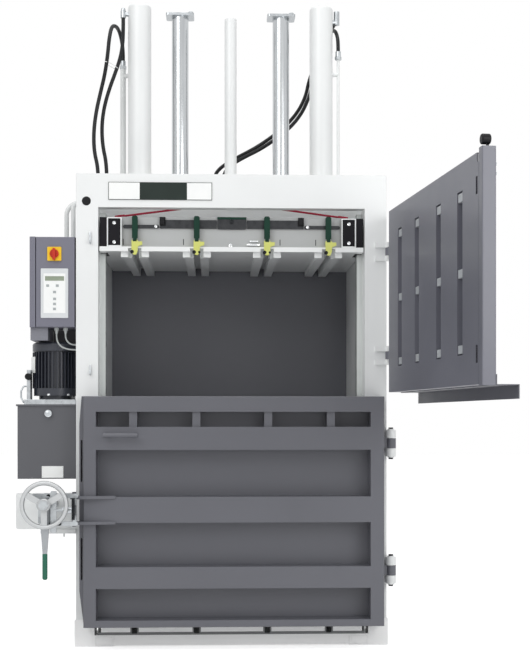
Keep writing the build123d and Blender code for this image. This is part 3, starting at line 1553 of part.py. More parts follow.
# Valve knob
with BuildPart() as valve_knob:
    with BuildSketch(valve_plane.offset(flat_gap)):
        Circle(valve_knob_diameter / 2)
    extrude(amount=valve_knob_length)
    fillet(valve_knob.edges().filter_by(GeomType.CIRCLE), radius=2)
    with BuildSketch(valve_plane.offset(flat_gap)):
        Circle(valve_stem / 2)
    extrude(amount=-18)

# Control box body: an open shell with a flush strip at the left
box_middle_x = (box_left - frame_side) / 2
box_width = -frame_side - box_left
with BuildPart() as control_box:
    with Locations((box_middle_x, (box_front + box_back) / 2, (box_bottom + box_top) / 2)):
        Box(box_width, box_back - box_front, box_top - box_bottom)
    inner_depth = box_back - box_front - box_sheet
    with Locations((box_middle_x, box_front + inner_depth / 2, (box_bottom + box_top) / 2)):
        Box(box_width - 2 * box_sheet, inner_depth, box_top - box_bottom - 2 * box_sheet,
            mode=Mode.SUBTRACT)
    with Locations((box_left + strip_width / 2, box_front - lid_depth / 2, (box_bottom + box_top) / 2)):
        Box(strip_width, lid_depth, box_top - box_bottom)
    fillet(control_box.edges().filter_by(Axis.Z).group_by(Axis.X)[0], radius=2)

# Control box lid: a tray that covers the front
lid_left = box_left + strip_width + lid_gap
lid_back = box_front - flat_gap
lid_front = box_front - lid_depth
lid_middle_x = (lid_left + lid_right) / 2
with BuildPart() as box_lid:
    with Locations((lid_middle_x, (lid_front + lid_back) / 2, (box_bottom + box_top) / 2)):
        Box(lid_right - lid_left, lid_back - lid_front, box_top - box_bottom - 2)
    fillet(box_lid.edges().group_by(Axis.Y)[0], radius=2.5)
    with Locations((lid_middle_x, (lid_front + lid_back) / 2 + box_sheet, (box_bottom + box_top) / 2)):
        Box(
            lid_right - lid_left - 2 * box_sheet,
            lid_back - lid_front,
            box_top - box_bottom - 2 - 2 * box_sheet,
            mode=Mode.SUBTRACT,
        )
    face_plane = Plane(origin=(switch_x, lid_front, switch_z), x_dir=(1, 0, 0), z_dir=(0, -1, 0))
    with BuildSketch(face_plane):
        Circle(10)
    extrude(amount=-box_sheet * 2, mode=Mode.SUBTRACT)

# Main switch: its square plate and its knob
with BuildPart() as switch_plate:
    with BuildSketch(face_plane):
        RectangleRounded(switch_size, switch_size, radius=4)
        Circle(9, mode=Mode.SUBTRACT)
    extrude(amount=switch_thickness)
with BuildPart() as switch_knob:
    knob_plane = face_plane.offset(switch_thickness + flat_gap)
    with BuildSketch(knob_plane):
        Circle(switch_disc / 2)
    extrude(amount=6)
    with BuildSketch(knob_plane.offset(6)):
        with Locations((0, -3)):
            SlotOverall(switch_handle, switch_handle_width, rotation=90)
    extrude(amount=switch_handle_depth - 6)
    fillet(switch_knob.faces().sort_by(Axis.Y)[0].edges(), radius=2)
    with BuildSketch(knob_plane):
        Circle(8)
    extrude(amount=-12)

# Keypad panel: frame, display recess and raised keys
panel_width = panel_right - panel_left
panel_height = panel_high - panel_low
panel_plane = Plane(
    origin=((panel_left + panel_right) / 2, lid_front, (panel_low + panel_high) / 2),
    x_dir=(1, 0, 0),
    z_dir=(0, -1, 0),
)
with BuildPart() as keypad_panel:
    with BuildSketch(panel_plane):
        RectangleRounded(panel_width, panel_height, radius=3)
    extrude(amount=panel_thickness)
    with BuildSketch(panel_plane.offset(panel_thickness)):
        RectangleRounded(panel_width - 2 * keypad_inset, panel_height - 4 * keypad_inset, radius=3)
    extrude(amount=-keypad_depth, mode=Mode.SUBTRACT)
    key_level = panel_plane.offset(panel_thickness - keypad_depth)
    with BuildSketch(key_level):
        with Locations((0, display_z - (panel_low + panel_high) / 2)):
            Rectangle(display_width, display_height)
    extrude(amount=-1, mode=Mode.SUBTRACT)
    key_places = [(-32, 24), (10, 24), (0, -2), (0, -34), (0, -58), (0, -82)]
    with BuildSketch(key_level):
        with Locations(*key_places):
            Circle(key_diameter / 2)
    extrude(amount=key_rise)

# Cable glands under the control box
with BuildPart() as cable_glands:
    with BuildSketch(Plane.XY.offset(box_bottom)):
        with Locations(*[(x, gland_y) for x in gland_places]):
            RegularPolygon(gland_diameter / 2, 6)
    extrude(amount=-12)
    with BuildSketch(Plane.XY.offset(box_bottom - 12)):
        with Locations(*[(x, gland_y) for x in gland_places]):
            Circle(gland_diameter / 2 - 3)
    extrude(amount=-(gland_length - 12), taper=14)
cable_glands.part = Compound(cable_glands.part.solids())

# Bracket between tank and control box
with BuildPart() as unit_bracket:
    with BuildSketch(Plane.YZ.offset(box_left + 1)):
        with BuildLine():
            Polyline(
                (box_front, box_bottom),
                (box_front, bracket_bottom),
                (bracket_upright - 8, bracket_bottom),
                (bracket_upright - 8, unit_seat),
                (bracket_upright, unit_seat),
                (bracket_upright, box_bottom),
                close=True,
            )
        make_face()
    extrude(amount=bracket_right - box_left)
    with Locations(((box_left + bracket_right) / 2 + 1, (box_front + bracket_upright) / 2,
                    (bracket_bottom + box_bottom) / 2 + 4)):
        Box(bracket_right - box_left - 8, bracket_upright - box_front - 16,
            box_bottom - bracket_bottom, mode=Mode.SUBTRACT)


def cord_radii(points):
    """For each inner point, 0.45 of the shorter run over the tangent of half the turn."""
    places = [Vector(*point) for point in points]
    radii = []
    for before, here, after in zip(places, places[1:], places[2:]):
        run_in = here - before
        run_out = after - here
        half_turn = radians(run_in.get_angle(run_out)) / 2
        radii.append(0.45 * min(run_in.length, run_out.length) / tan(half_turn))
    return radii


def raised(points):
    """The same points, measured from the floor and not from the top frame."""
    return [(x, y, z + frame_height) for x, y, z in points]


def cord_part(name, points, diameter):
    """A round cord along straight runs joined by large arcs."""
    radii = cord_radii(points)
    with BuildPart() as cord:
        with BuildLine() as route:
            FilletPolyline(*points, radius=radii)
        with BuildSketch(Plane(origin=points[0], z_dir=route.wire() % 0)):
            Circle(diameter / 2)
        sweep(path=route.wire())
    length = route.wire().length
    ratio = cord.part.volume / (pi * diameter**2 / 4 * length)
    smallest = min(radii) / diameter
    print(f"{name}: length {length:.0f}, least radius {smallest:.1f} d, volume ratio {ratio:.4f}")
    return cord


# Routes of the four hydraulic hoses, with heights above the top frame
left_top_points = [
    (-515, -24, 827),
    (-515, -24, 762),
    (-518, -28, 690),
    (-530, -36, 625),
    (-552, -42, 558),
    (-580, -46, 480),
    (-604, -48, 395),
    (-616, -46, 305),
    (-612, -44, 210),
    (-592, -45, 120),
    (-592, -45, 42),
]
left_side_points = [
    (left_pipe_x, left_pipe_y, 646),
    (left_pipe_x, left_pipe_y, 694),
    (-527, 50, 739),
    (-535, 11, 771),
    (-547, -41, 783),
    (-563, -112, 762),
    (-571, -164, 688),
    (-578, -159, 612),
    (-594, -126, 530),
    (-616, -106, 450),
    (-638, -95, 360),
    (-650, -92, 265),
    (-648, -90, 172),
    (-629, -92, 95),
    (-629, -92, 42),
]
right_top_points = [
    (515, 52, 852),
    (515, 83, 852),
    (511, 127, 847),
    (495, 165, 830),
    (461, 197, 798),
    (440, 212, 743),
    (422, 188, 664),
    (392, 172, 590),
    (377, 174, 513),
    (338, 150, 430),
    (280, 144, 360),
    (204, 142, 298),
    (122, 138, 242),
    (32, 158, 199),
    (-56, 152, 145),
    (-83, 150, 92),
    (-83, 150, 42),
]
right_side_points = [
    (right_pipe_x, right_pipe_y, 681),
    (right_pipe_x, right_pipe_y, 725),
    (517, 8, 766),
    (509, 53, 806),
    (493, 138, 819),
    (473, 206, 767),
    (452, 225, 711),
    (431, 204, 640),
    (409, 165, 564),
    (387, 121, 488),
    (352, 110, 410),
    (298, 106, 342),
    (230, 104, 286),
    (148, 101, 230),
    (60, 115, 189),
    (-11, 109, 145),
    (-38, 107, 92),
    (-38, 107, 42),
]
left_top_route = raised(left_top_points)
left_side_route = raised(left_side_points)
right_top_route = raised(right_top_points)
right_side_route = raised(right_side_points)
left_top_hose = cord_part("left_top_hose", left_top_route, hose)
left_side_hose = cord_part("left_side_hose", left_side_route, hose)
right_top_hose = cord_part("right_top_hose", right_top_route, hose)
right_side_hose = cord_part("right_side_hose", right_side_route, hose)

# Routes of the two control cables, from their glands into the post
gland_exit = box_bottom - gland_length
left_cable_route = [
    (gland_places[0], gland_y, gland_exit),
    (gland_places[0], gland_y, gland_exit - 21),
    (gland_places[0] + 9, gland_y - 3, gland_exit - 45),
    (gland_places[0] + 29, gland_y - 5, gland_exit - 62),
    (gland_places[0] + 61, gland_y - 6, gland_exit - 71),
    (-frame_side, gland_y - 6, gland_exit - 71),
]
right_cable_route = [
    (gland_places[1], gland_y, gland_exit),
    (gland_places[1], gland_y, gland_exit - 16),
    (gland_places[1] + 6, gland_y, gland_exit - 31),
    (gland_places[1] + 17.5, gland_y, gland_exit - 42.5),
    (gland_places[1] + 33.5, gland_y, gland_exit - 49),
    (-frame_side, gland_y, gland_exit - 49),
]
control_cable_1 = cord_part("control_cable_1", left_cable_route, cable)
control_cable_2 = cord_part("control_cable_2", right_cable_route, cable)

# Oil pipes beside the cylinders, each with a link into the barrel
with BuildPart() as oil_pipes:
    with BuildSketch(Plane.XY.offset(frame_height)):
        with Locations((left_pipe_x, left_pipe_y)):
            Circle(left_pipe / 2)
    extrude(amount=left_pipe_height)
    with BuildSketch(Plane.XY.offset(frame_height)):
        with Locations((right_pipe_x, right_pipe_y)):
            Circle(right_pipe / 2)
    extrude(amount=right_pipe_height)
    for side, pipe_x, pipe_y in ((-1, left_pipe_x, left_pipe_y), (1, right_pipe_x, right_pipe_y)):
        link_z = frame_height + link_pipe_rise
        link_start = Vector(pipe_x, pipe_y, link_z)
        link_line = Vector(side * cylinder_offset, 0, link_z) - link_start
        with BuildSketch(Plane(origin=link_start, z_dir=link_line)):
            Circle(link_pipe / 2)
        extrude(amount=link_line.length - cylinder_outer / 2 + saddle_depth)
    with BuildSketch(Plane.XY.offset(frame_height)):
        with GridLocations(2 * cylinder_offset, 0, 2, 1):
            Circle(cylinder_outer / 2)
    extrude(amount=cylinder_top - frame_height, mode=Mode.SUBTRACT)

# Supply pipes from the tank up to the top frame
with BuildPart() as supply_pipes:
    for pipe_x, pipe_y in supply_places:
        with BuildLine() as supply_path:
            FilletPolyline(
                (pipe_x, pipe_y, unit_seat),
                (pipe_x, pipe_y, beam_z),
                (-frame_side, pipe_y, beam_z),
                radius=min(supply_bend, 0.8 * (-frame_side - pipe_x)),
            )
        with BuildSketch(Plane.XY.offset(unit_seat)):
            with Locations((pipe_x, pipe_y)):
                Circle(supply_pipe / 2)
        sweep(path=supply_path.wire())


def hose_collar_part(point, direction, base_length):
    """A crimped collar on a hose's end with a hexagon behind it."""
    start = Vector(*point)
    line = Vector(*direction).normalized()
    with BuildPart() as collar:
        with BuildSketch(Plane(origin=start, z_dir=line)):
            Circle(hose_collar / 2)
        extrude(amount=base_length * 0.6)
        with BuildSketch(Plane(origin=start + line * base_length * 0.6, z_dir=line)):
            RegularPolygon(hose_collar / 2 + 3, 6)
        extrude(amount=base_length * 0.4)
    return collar.part.solid()


# Fittings: collars at every hose end, banjos at the cylinder tops
fitting_solids = [
    hose_collar_part(left_side_route[0], (0, 0, -1), left_side_route[0][2] - left_pipe_top),
    hose_collar_part(right_side_route[0], (0, 0, -1), right_side_route[0][2] - right_pipe_top),
]
for route in (left_top_route, left_side_route, right_top_route, right_side_route):
    end_point = (route[-1][0], route[-1][1], route[-1][2])
    fitting_solids.append(hose_collar_part(end_point, (0, 0, -1), end_point[2] - frame_height))
with BuildPart() as left_banjo:
    banjo_top = left_top_route[0][2] + hose_collar_length
    with BuildSketch(Plane.XY.offset(left_top_route[0][2])):
        with Locations(left_top_route[0][:2]):
            Circle(hose_collar / 2)
    extrude(amount=hose_collar_length)
    with BuildSketch(Plane.XY.offset(banjo_top)):
        with Locations(left_top_route[0][:2]):
            Circle(hose_collar / 2 - 3)
    extrude(amount=14)
    fillet(left_banjo.edges().group_by(Axis.Z)[-1], radius=6)
    banjo_line = Vector(-cylinder_offset, 0, 0) - Vector(left_top_route[0][0], left_top_route[0][1], 0)
    banjo_origin = (left_top_route[0][0], left_top_route[0][1], banjo_top - 14)
    with BuildSketch(Plane(origin=banjo_origin, z_dir=banjo_line)):
        Circle(11)
    extrude(amount=banjo_line.length - cylinder_outer / 2 + saddle_depth)
    with BuildSketch(Plane.XY.offset(frame_height)):
        with Locations((-cylinder_offset, 0)):
            Circle(cylinder_outer / 2)
    extrude(amount=cylinder_top - frame_height, mode=Mode.SUBTRACT)
with BuildPart() as right_banjo:
    banjo_end = right_top_route[0]
    with BuildSketch(Plane(origin=banjo_end, z_dir=(0, -1, 0))):
        Circle(hose_collar / 2)
    extrude(amount=hose_collar_length)
    elbow_y = banjo_end[1] - hose_collar_length
    with BuildSketch(Plane.XY.offset(banjo_end[2] - 34)):
        with Locations((banjo_end[0], elbow_y)):
            Circle(hose_collar / 2 + 1)
    extrude(amount=64)
    right_line = Vector(cylinder_offset, 0, 0) - Vector(banjo_end[0], elbow_y, 0)
    with BuildSketch(Plane(origin=(banjo_end[0], elbow_y, banjo_end[2] - 22), z_dir=right_line)):
        Circle(11)
    extrude(amount=right_line.length - cylinder_outer / 2 + saddle_depth)
    with BuildSketch(Plane.XY.offset(frame_height)):
        with Locations((cylinder_offset, 0)):
            Circle(cylinder_outer / 2)
    extrude(amount=cylinder_top - frame_height, mode=Mode.SUBTRACT)
hose_fittings_part = Compound(fitting_solids + left_banjo.part.solids() + right_banjo.part.solids())

# Finished pieces by name
pieces = {
    "frame_posts": frame_posts.part,
    "left_side_wall": left_side_wall.part,
    "right_side_wall": right_side_wall.part,
    "rear_wall": rear_wall.part,
    "chamber_floor": chamber_floor.part,
    "top_frame": top_frame.part,
    "crosshead": crosshead.part,
    "base_frame": Compound(base_rails.part.solids() + floor_feet.part.solids()),
    "guide_rails": guide_rails.part,
    "cylinder_barrels": cylinder_barrels.part,
    "rod_glands": rod_glands.part,
    "stroke_tube": stroke_tube.part,
    "oil_pipes": Compound(oil_pipes.part.solids() + supply_pipes.part.solids()),
    "hose_fittings": hose_fittings_part,
    "left_top_hose": left_top_hose.part,
    "left_side_hose": left_side_hose.part,
    "right_top_hose": right_top_hose.part,
    "right_side_hose": right_side_hose.part,
    "oil_tank": oil_tank.part,
    "pump_base": pump_base.part,
    "motor": motor.part,
    "valve_block": valve_block_part,
    "valve_knob": valve_knob.part,
    "control_box": control_box.part,
    "unit_bracket": unit_bracket.part,
    "cable_glands": cable_glands.part,
    "control_cable_1": control_cable_1.part,
    "control_cable_2": control_cable_2.part,
    "box_lid": box_lid.part,
    "switch_plate": switch_plate.part,
    "keypad_panel": keypad_panel.part,
    "switch_knob": switch_knob.part,
    "closure_bracket": closure_bracket.part,
    "spindle_nut": spindle_nut.part,
    "closure_yoke": closure_yoke.part,
    "ratchet_lever": ratchet_lever.part,
    "lever_grip": lever_grip.part,
    "handwheel": handwheel.part,
    "spindle": Compound(spindle_rod.part.solids() + wheel_nut.part.solids()),
    "frame_hinges": frame_hinges.part,
    "bale_door_panel": bale_door_panel.part,
    "bale_door_frame": bale_door_frame.part,
    "bale_door_handle": bale_door_handle.part,
    "door_catch": door_catch.part,
    "feed_door": feed_door.part,
    "feed_door_inserts": feed_door_inserts.part,
    "feed_door_apron": feed_door_apron.part,
    "feed_latch_knob": feed_latch_knob.part,
    "platen": Compound(platen.part.solids() + cord_mast.part.solids()),
    "guide_blocks": guide_blocks.part,
    "piston_rods": piston_rods.part,
    "guide_rods": guide_rods.part,
    "rod_stops": rod_stops.part,
    "strap_clips": strap_clips.part,
    "linkage_bars": linkage_bars.part,
    "pull_cords": pull_cords.part,
}
for name, lever in strap_levers.items():
    pieces[name] = lever.part
for name, piece in pieces.items():
    piece.label = name
    export_step(piece, f"parts/{name}.step")
print(f"{len(pieces)} pieces written")
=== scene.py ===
import json
import math

import bmesh
import bpy
from mathutils import Matrix, Vector


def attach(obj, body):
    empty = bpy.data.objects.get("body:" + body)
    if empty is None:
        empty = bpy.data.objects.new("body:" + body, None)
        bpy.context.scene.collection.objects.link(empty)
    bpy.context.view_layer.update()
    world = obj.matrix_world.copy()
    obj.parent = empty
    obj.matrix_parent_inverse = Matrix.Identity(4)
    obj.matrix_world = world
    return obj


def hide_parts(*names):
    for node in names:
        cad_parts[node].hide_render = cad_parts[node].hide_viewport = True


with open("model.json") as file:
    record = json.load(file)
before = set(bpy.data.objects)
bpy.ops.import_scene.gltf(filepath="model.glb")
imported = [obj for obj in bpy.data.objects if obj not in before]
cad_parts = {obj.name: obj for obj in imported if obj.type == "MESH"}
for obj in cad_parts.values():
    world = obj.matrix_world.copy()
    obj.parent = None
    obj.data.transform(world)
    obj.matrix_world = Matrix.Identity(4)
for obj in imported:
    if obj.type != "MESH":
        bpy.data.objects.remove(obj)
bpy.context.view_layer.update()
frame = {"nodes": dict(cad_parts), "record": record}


# Colour and node helpers
def linear(hex_code):
    """A colour of the sRGB hex code as linear RGBA."""
    channels = []
    for start in (1, 3, 5):
        value = int(hex_code[start:start + 2], 16) / 255
        channels.append(value / 12.92 if value <= 0.04045 else ((value + 0.055) / 1.055) ** 2.4)
    return (*channels, 1.0)


def add_node(tree, kind, inputs=(), **settings):
    """A node with its settings, its constants and its links."""
    node = tree.nodes.new(kind)
    for key, value in settings.items():
        setattr(node, key, value)
    for key, value in dict(inputs).items():
        if isinstance(value, bpy.types.NodeSocket):
            tree.links.new(value, node.inputs[key])
        else:
            node.inputs[key].default_value = value
    return node


def new_material(name):
    """A node material with its principled shader and its output."""
    material = bpy.data.materials.new(name)
    material.use_nodes = True
    tree = material.node_tree
    tree.nodes.clear()
    output = add_node(tree, "ShaderNodeOutputMaterial")
    shader = add_node(tree, "ShaderNodeBsdfPrincipled")
    tree.links.new(shader.outputs["BSDF"], output.inputs["Surface"])
    return material, tree, shader


def object_noise(tree, scale, detail=3.0, stretch=(1.0, 1.0, 1.0)):
    """Noise over the object's own coordinates, drawn out along its axes."""
    place = add_node(tree, "ShaderNodeTexCoord")
    mapping = add_node(tree, "ShaderNodeMapping", {"Vector": place.outputs["Object"], "Scale": stretch})
    return add_node(
        tree,
        "ShaderNodeTexNoise",
        {"Vector": mapping.outputs["Vector"], "Scale": scale, "Detail": detail},
    ).outputs["Fac"]


def vary(tree, fac, dark, light):
    """A colour between two hex codes that follows a factor."""
    mix = add_node(tree, "ShaderNodeMix", {"Factor": fac}, data_type="RGBA")
    mix.inputs["A"].default_value = linear(dark)
    mix.inputs["B"].default_value = linear(light)
    return mix.outputs["Result"]


def spread(tree, fac, low_value, high_value):
    """A noise factor, which keeps near its middle, drawn out to a whole range."""
    noise_low, noise_high = 0.3, 0.7
    ends = {"From Min": noise_low, "From Max": noise_high, "To Min": low_value, "To Max": high_value}
    return add_node(tree, "ShaderNodeMapRange", {"Value": fac, **ends}).outputs["Result"]


def enamel(name, dark, light, rough=(0.3, 0.4), peel=0.06, coat=0.15):
    """Sprayed enamel on steel with a faint orange peel."""
    cloud_scale, peel_scale = 3.0, 260.0
    peel_depth = 0.001
    coat_roughness = 0.2
    material, tree, shader = new_material(name)
    cloud = object_noise(tree, cloud_scale)
    grain = object_noise(tree, peel_scale, 2.0)
    bump = add_node(tree, "ShaderNodeBump", {"Height": grain, "Strength": peel, "Distance": peel_depth})
    tree.links.new(vary(tree, cloud, dark, light), shader.inputs["Base Color"])
    tree.links.new(spread(tree, cloud, *rough), shader.inputs["Roughness"])
    tree.links.new(bump.outputs["Normal"], shader.inputs["Normal"])
    shader.inputs["Coat Weight"].default_value = coat
    shader.inputs["Coat Roughness"].default_value = coat_roughness
    return material


def metal(name, dark, light, rough=(0.2, 0.35), stretch=(1.0, 1.0, 1.0), scale=60.0, relief=0.08):
    """Bare metal whose grain is drawn out along one axis."""
    grain_depth = 0.0005
    material, tree, shader = new_material(name)
    grain = object_noise(tree, scale, 4.0, stretch)
    bump = add_node(tree, "ShaderNodeBump", {"Height": grain, "Strength": relief, "Distance": grain_depth})
    tree.links.new(vary(tree, grain, dark, light), shader.inputs["Base Color"])
    tree.links.new(spread(tree, grain, *rough), shader.inputs["Roughness"])
    tree.links.new(bump.outputs["Normal"], shader.inputs["Normal"])
    shader.inputs["Metallic"].default_value = 1.0
    return material


def moulding(name, dark, light, rough=(0.4, 0.55), scale=400.0, relief=0.15, shine=0.3):
    """Moulded plastic or rubber with a fine grain."""
    cloud_scale = 12.0
    grain_depth = 0.0006
    material, tree, shader = new_material(name)
    cloud = object_noise(tree, cloud_scale)
    grain = object_noise(tree, scale, 2.0)
    bump = add_node(tree, "ShaderNodeBump", {"Height": grain, "Strength": relief, "Distance": grain_depth})
    tree.links.new(vary(tree, cloud, dark, light), shader.inputs["Base Color"])
    tree.links.new(spread(tree, cloud, *rough), shader.inputs["Roughness"])
    tree.links.new(bump.outputs["Normal"], shader.inputs["Normal"])
    shader.inputs["Specular IOR Level"].default_value = shine
    return material


def braid(name, dark, light):
    """Braided cord: crossed strands in colour and relief."""
    strand_scale, strand_relief, strand_depth = 120.0, 0.4, 0.001
    material, tree, shader = new_material(name)
    place = add_node(tree, "ShaderNodeTexCoord")
    waves = []
    for direction in ("X", "Z"):
        waves.append(add_node(
            tree,
            "ShaderNodeTexWave",
            {"Vector": place.outputs["Object"], "Scale": strand_scale, "Distortion": 1.0},
            bands_direction=direction,
        ).outputs["Fac"])
    product = add_node(tree, "ShaderNodeMath", {0: waves[0], 1: waves[1]}, operation="MULTIPLY")
    crossed = product.outputs[0]
    relief = {"Height": crossed, "Strength": strand_relief, "Distance": strand_depth}
    bump = add_node(tree, "ShaderNodeBump", relief)
    tree.links.new(vary(tree, crossed, dark, light), shader.inputs["Base Color"])
    tree.links.new(bump.outputs["Normal"], shader.inputs["Normal"])
    shader.inputs["Roughness"].default_value = 0.7
    return material


materials = {
    # Light grey enamel on the press frame
    "frame_paint": enamel("frame_enamel", "#E6E8E8", "#F1F3F3"),
    # Dark grey enamel on doors and yoke
    "door_paint": enamel("door_enamel", "#5A5B62", "#63646B", (0.38, 0.5)),
    # Grey primed steel of floor and guide rails
    "floor_steel": enamel("floor_primer", "#6B6D6E", "#7C7E7F", (0.5, 0.65), 0.1, 0.0),
    # Ground hard chrome
    "chrome_rod": metal("hard_chrome", "#A9ACAF", "#D5D8DA", (0.12, 0.22), (1.0, 1.0, 0.05)),
    # Turned bearing bronze
    "bronze_guide": metal("bearing_bronze", "#A58B52", "#C0A566", (0.25, 0.4), (1.0, 1.0, 20.0)),
    # Bright zinc plating
    "zinc_steel": metal("zinc_plating", "#9EA2A5", "#C9CDD0", (0.25, 0.4)),
    # Smooth hose cover rubber
    "hose_rubber": moulding("hose_cover", "#0E0F11", "#191B1E", (0.35, 0.5)),
    # Grey cable sheath
    "cable_grey": moulding("cable_sheath", "#A2A6A5", "#B7BBBA"),
    # Blue-black motor enamel over cast iron
    "motor_paint": enamel("motor_enamel", "#23262F", "#333742", (0.35, 0.5), 0.2, 0.2),
    # Dark grey enamel on the oil tank
    "tank_paint": enamel("tank_enamel", "#535459", "#5B5C61", (0.38, 0.5)),
    # Mid grey powder coat on the control box
    "box_paint": enamel("box_powder_coat", "#6F6F7B", "#767683", (0.45, 0.55), 0.15, 0.0),
    # Matt black moulding
    "black_plastic": moulding("black_moulding", "#0D0D0F", "#151619", shine=0.2),
    # Yellow switch plate
    "yellow_plate": moulding("yellow_switch_plate", "#EDBF22", "#F6CE33", (0.3, 0.4)),
    # Red switch handle
    "red_knob": moulding("red_switch_handle", "#B82A1B", "#CC3A26", (0.25, 0.35)),
    # Light grey keypad frame
    "keypad_film": moulding("keypad_frame", "#D2D6D8", "#E0E3E5", (0.3, 0.4)),
    # Green moulded grip
    "green_grip": moulding("green_grip_moulding", "#072A1F", "#0F3A2C", (0.4, 0.5), shine=0.2),
    # Yellow-green enamel on the strap clips
    "clip_paint": enamel("clip_enamel", "#C6CA67", "#D5D878"),
    # Red braided pull cord
    "red_cord": braid("red_braid", "#9A1630", "#C92B4C"),
    # Light grey slide strips
    "light_insert": moulding("slide_strip", "#9DA1A5", "#B4B8BB"),
    # Black slide plastic
    "black_shoe": moulding("slide_shoe", "#0D0C10", "#17151B", shine=0.15),
}


def press_plate_enamel_and_painted_shade():
    """White enamel on the plate and its lip; the fascia above it in light grey, as painted shade of the
    header.
    """
    lip_top = 1.7862
    fascia_top = 1.9256
    material = enamel("press_plate_enamel_and_painted_shade", "#E6E8E8", "#F1F3F3")
    tree = material.node_tree
    shader = next(node for node in tree.nodes if node.type == "BSDF_PRINCIPLED")
    place = add_node(tree, "ShaderNodeTexCoord")
    height = add_node(tree, "ShaderNodeSeparateXYZ", {"Vector": place.outputs["Object"]}).outputs["Z"]
    above_lip = add_node(tree, "ShaderNodeMath", {0: height, 1: lip_top}, operation="GREATER_THAN")
    below_mast = add_node(tree, "ShaderNodeMath", {0: height, 1: fascia_top}, operation="LESS_THAN")
    # Between the lip and the fascia's top the white gives way to light grey: painted shade where the
    # header shades the fascia
    fascia_painted_shade = add_node(
        tree, "ShaderNodeMath", {0: above_lip.outputs[0], 1: below_mast.outputs[0]}, operation="MULTIPLY"
    )
    cloud = object_noise(tree, 4.0)
    mix = add_node(tree, "ShaderNodeMix", {"Factor": fascia_painted_shade.outputs[0]}, data_type="RGBA")
    tree.links.new(shader.inputs["Base Color"].links[0].from_socket, mix.inputs["A"])
    tree.links.new(vary(tree, cloud, "#ABADAD", "#B8BABA"), mix.inputs["B"])
    tree.links.new(mix.outputs["Result"], shader.inputs["Base Color"])
    return material


# Finishes that one node has to itself
own_finish = {
    # White enamel on the press plate, with the header's shadow painted in light grey on its fascia
    "platen": press_plate_enamel_and_painted_shade(),
    # Planed steel guide rails, oiled and bright
    "guide_rails": metal("planed_rail_steel", "#B9BDBC", "#D9DDDB", (0.3, 0.45), (1.0, 1.0, 0.05)),
    # White enamel on the thin oil pipes
    "oil_pipes": enamel("pipe_enamel", "#E2E5E4", "#EEF0F0", (0.25, 0.35)),
    # Mid grey enamel on the bracket of the control box
    "unit_bracket": enamel("bracket_enamel", "#74757E", "#82838B", (0.4, 0.5)),
    # Cast aluminium handwheel, tumbled dull
    "handwheel": metal("cast_aluminium", "#AEB0B1", "#C6C8C9", (0.5, 0.62), scale=90.0),
    # Dull zinc plating on the ratchet lever
    "ratchet_lever": metal("dull_zinc", "#93969A", "#A9ACAF", (0.35, 0.5)),
    # Blackened steel links on the press plate
    "linkage_bars": metal("blackened_links", "#2B2C2E", "#4A4B4D", (0.35, 0.5)),
    # White enamel on the base, a brighter copy of the frame enamel as painted light against the shade
    # under the bale door
    "base_frame": enamel("base_enamel_painted_light", "#F3F4F4", "#FCFCFC"),
    # Dark grey enamel on the feed door, a lighter copy of the bale door's enamel as painted light, for the
    # light its end bar catches
    "feed_door": enamel("feed_door_lit_enamel", "#64656E", "#6F707A", (0.38, 0.5)),
    # Mid green moulded grip of the ratchet lever
    "lever_grip": moulding("ratchet_grip_moulding", "#245F4C", "#2F705B", (0.35, 0.45)),
}
for subpart in frame["record"]["subparts"]:
    node = frame["nodes"][subpart["node"]]
    finish = own_finish.get(subpart["node"], materials[subpart["material_slot"]])
    node.data.materials.clear()
    node.data.materials.append(finish)


# Free cords: the same points as the CAD tubes, in metres
def cord_curve(name, points, diameter, body, node, slot):
    """A smooth cord on its points that stands for its CAD tube."""
    curve = bpy.data.curves.new(name, "CURVE")
    curve.dimensions = "3D"
    curve.bevel_depth = diameter / 2
    curve.bevel_resolution = 6
    curve.resolution_u = 8
    spline = curve.splines.new("NURBS")
    spline.points.add(len(points) - 1)
    for point, place in zip(spline.points, points):
        point.co = (*place, 1.0)
    spline.order_u = 3
    spline.use_endpoint_u = True
    cord = bpy.data.objects.new(name, curve)
    bpy.context.scene.collection.objects.link(cord)
    cord.data.materials.append(materials[slot])
    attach(cord, body)
    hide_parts(node)
    return cord


hose_diameter = 0.018
cable_diameter = 0.007
left_top_route = [
    (-0.515, -0.024, 2.937),
    (-0.515, -0.024, 2.872),
    (-0.518, -0.028, 2.800),
    (-0.530, -0.036, 2.735),
    (-0.552, -0.042, 2.668),
    (-0.580, -0.046, 2.590),
    (-0.604, -0.048, 2.505),
    (-0.616, -0.046, 2.415),
    (-0.612, -0.044, 2.320),
    (-0.592, -0.045, 2.230),
    (-0.592, -0.045, 2.152),
]
left_side_route = [
    (-0.522, 0.070, 2.756),
    (-0.522, 0.070, 2.804),
    (-0.527, 0.050, 2.849),
    (-0.535, 0.011, 2.881),
    (-0.547, -0.041, 2.893),
    (-0.563, -0.112, 2.872),
    (-0.571, -0.164, 2.798),
    (-0.578, -0.159, 2.722),
    (-0.594, -0.126, 2.640),
    (-0.616, -0.106, 2.560),
    (-0.638, -0.095, 2.470),
    (-0.650, -0.092, 2.375),
    (-0.648, -0.090, 2.282),
    (-0.629, -0.092, 2.205),
    (-0.629, -0.092, 2.152),
]
right_top_route = [
    (0.515, 0.052, 2.962),
    (0.515, 0.083, 2.962),
    (0.511, 0.127, 2.957),
    (0.495, 0.165, 2.940),
    (0.461, 0.197, 2.908),
    (0.440, 0.212, 2.853),
    (0.422, 0.188, 2.774),
    (0.392, 0.172, 2.700),
    (0.377, 0.174, 2.623),
    (0.338, 0.150, 2.540),
    (0.280, 0.144, 2.470),
    (0.204, 0.142, 2.408),
    (0.122, 0.138, 2.352),
    (0.032, 0.158, 2.309),
    (-0.056, 0.152, 2.255),
    (-0.083, 0.150, 2.202),
    (-0.083, 0.150, 2.152),
]
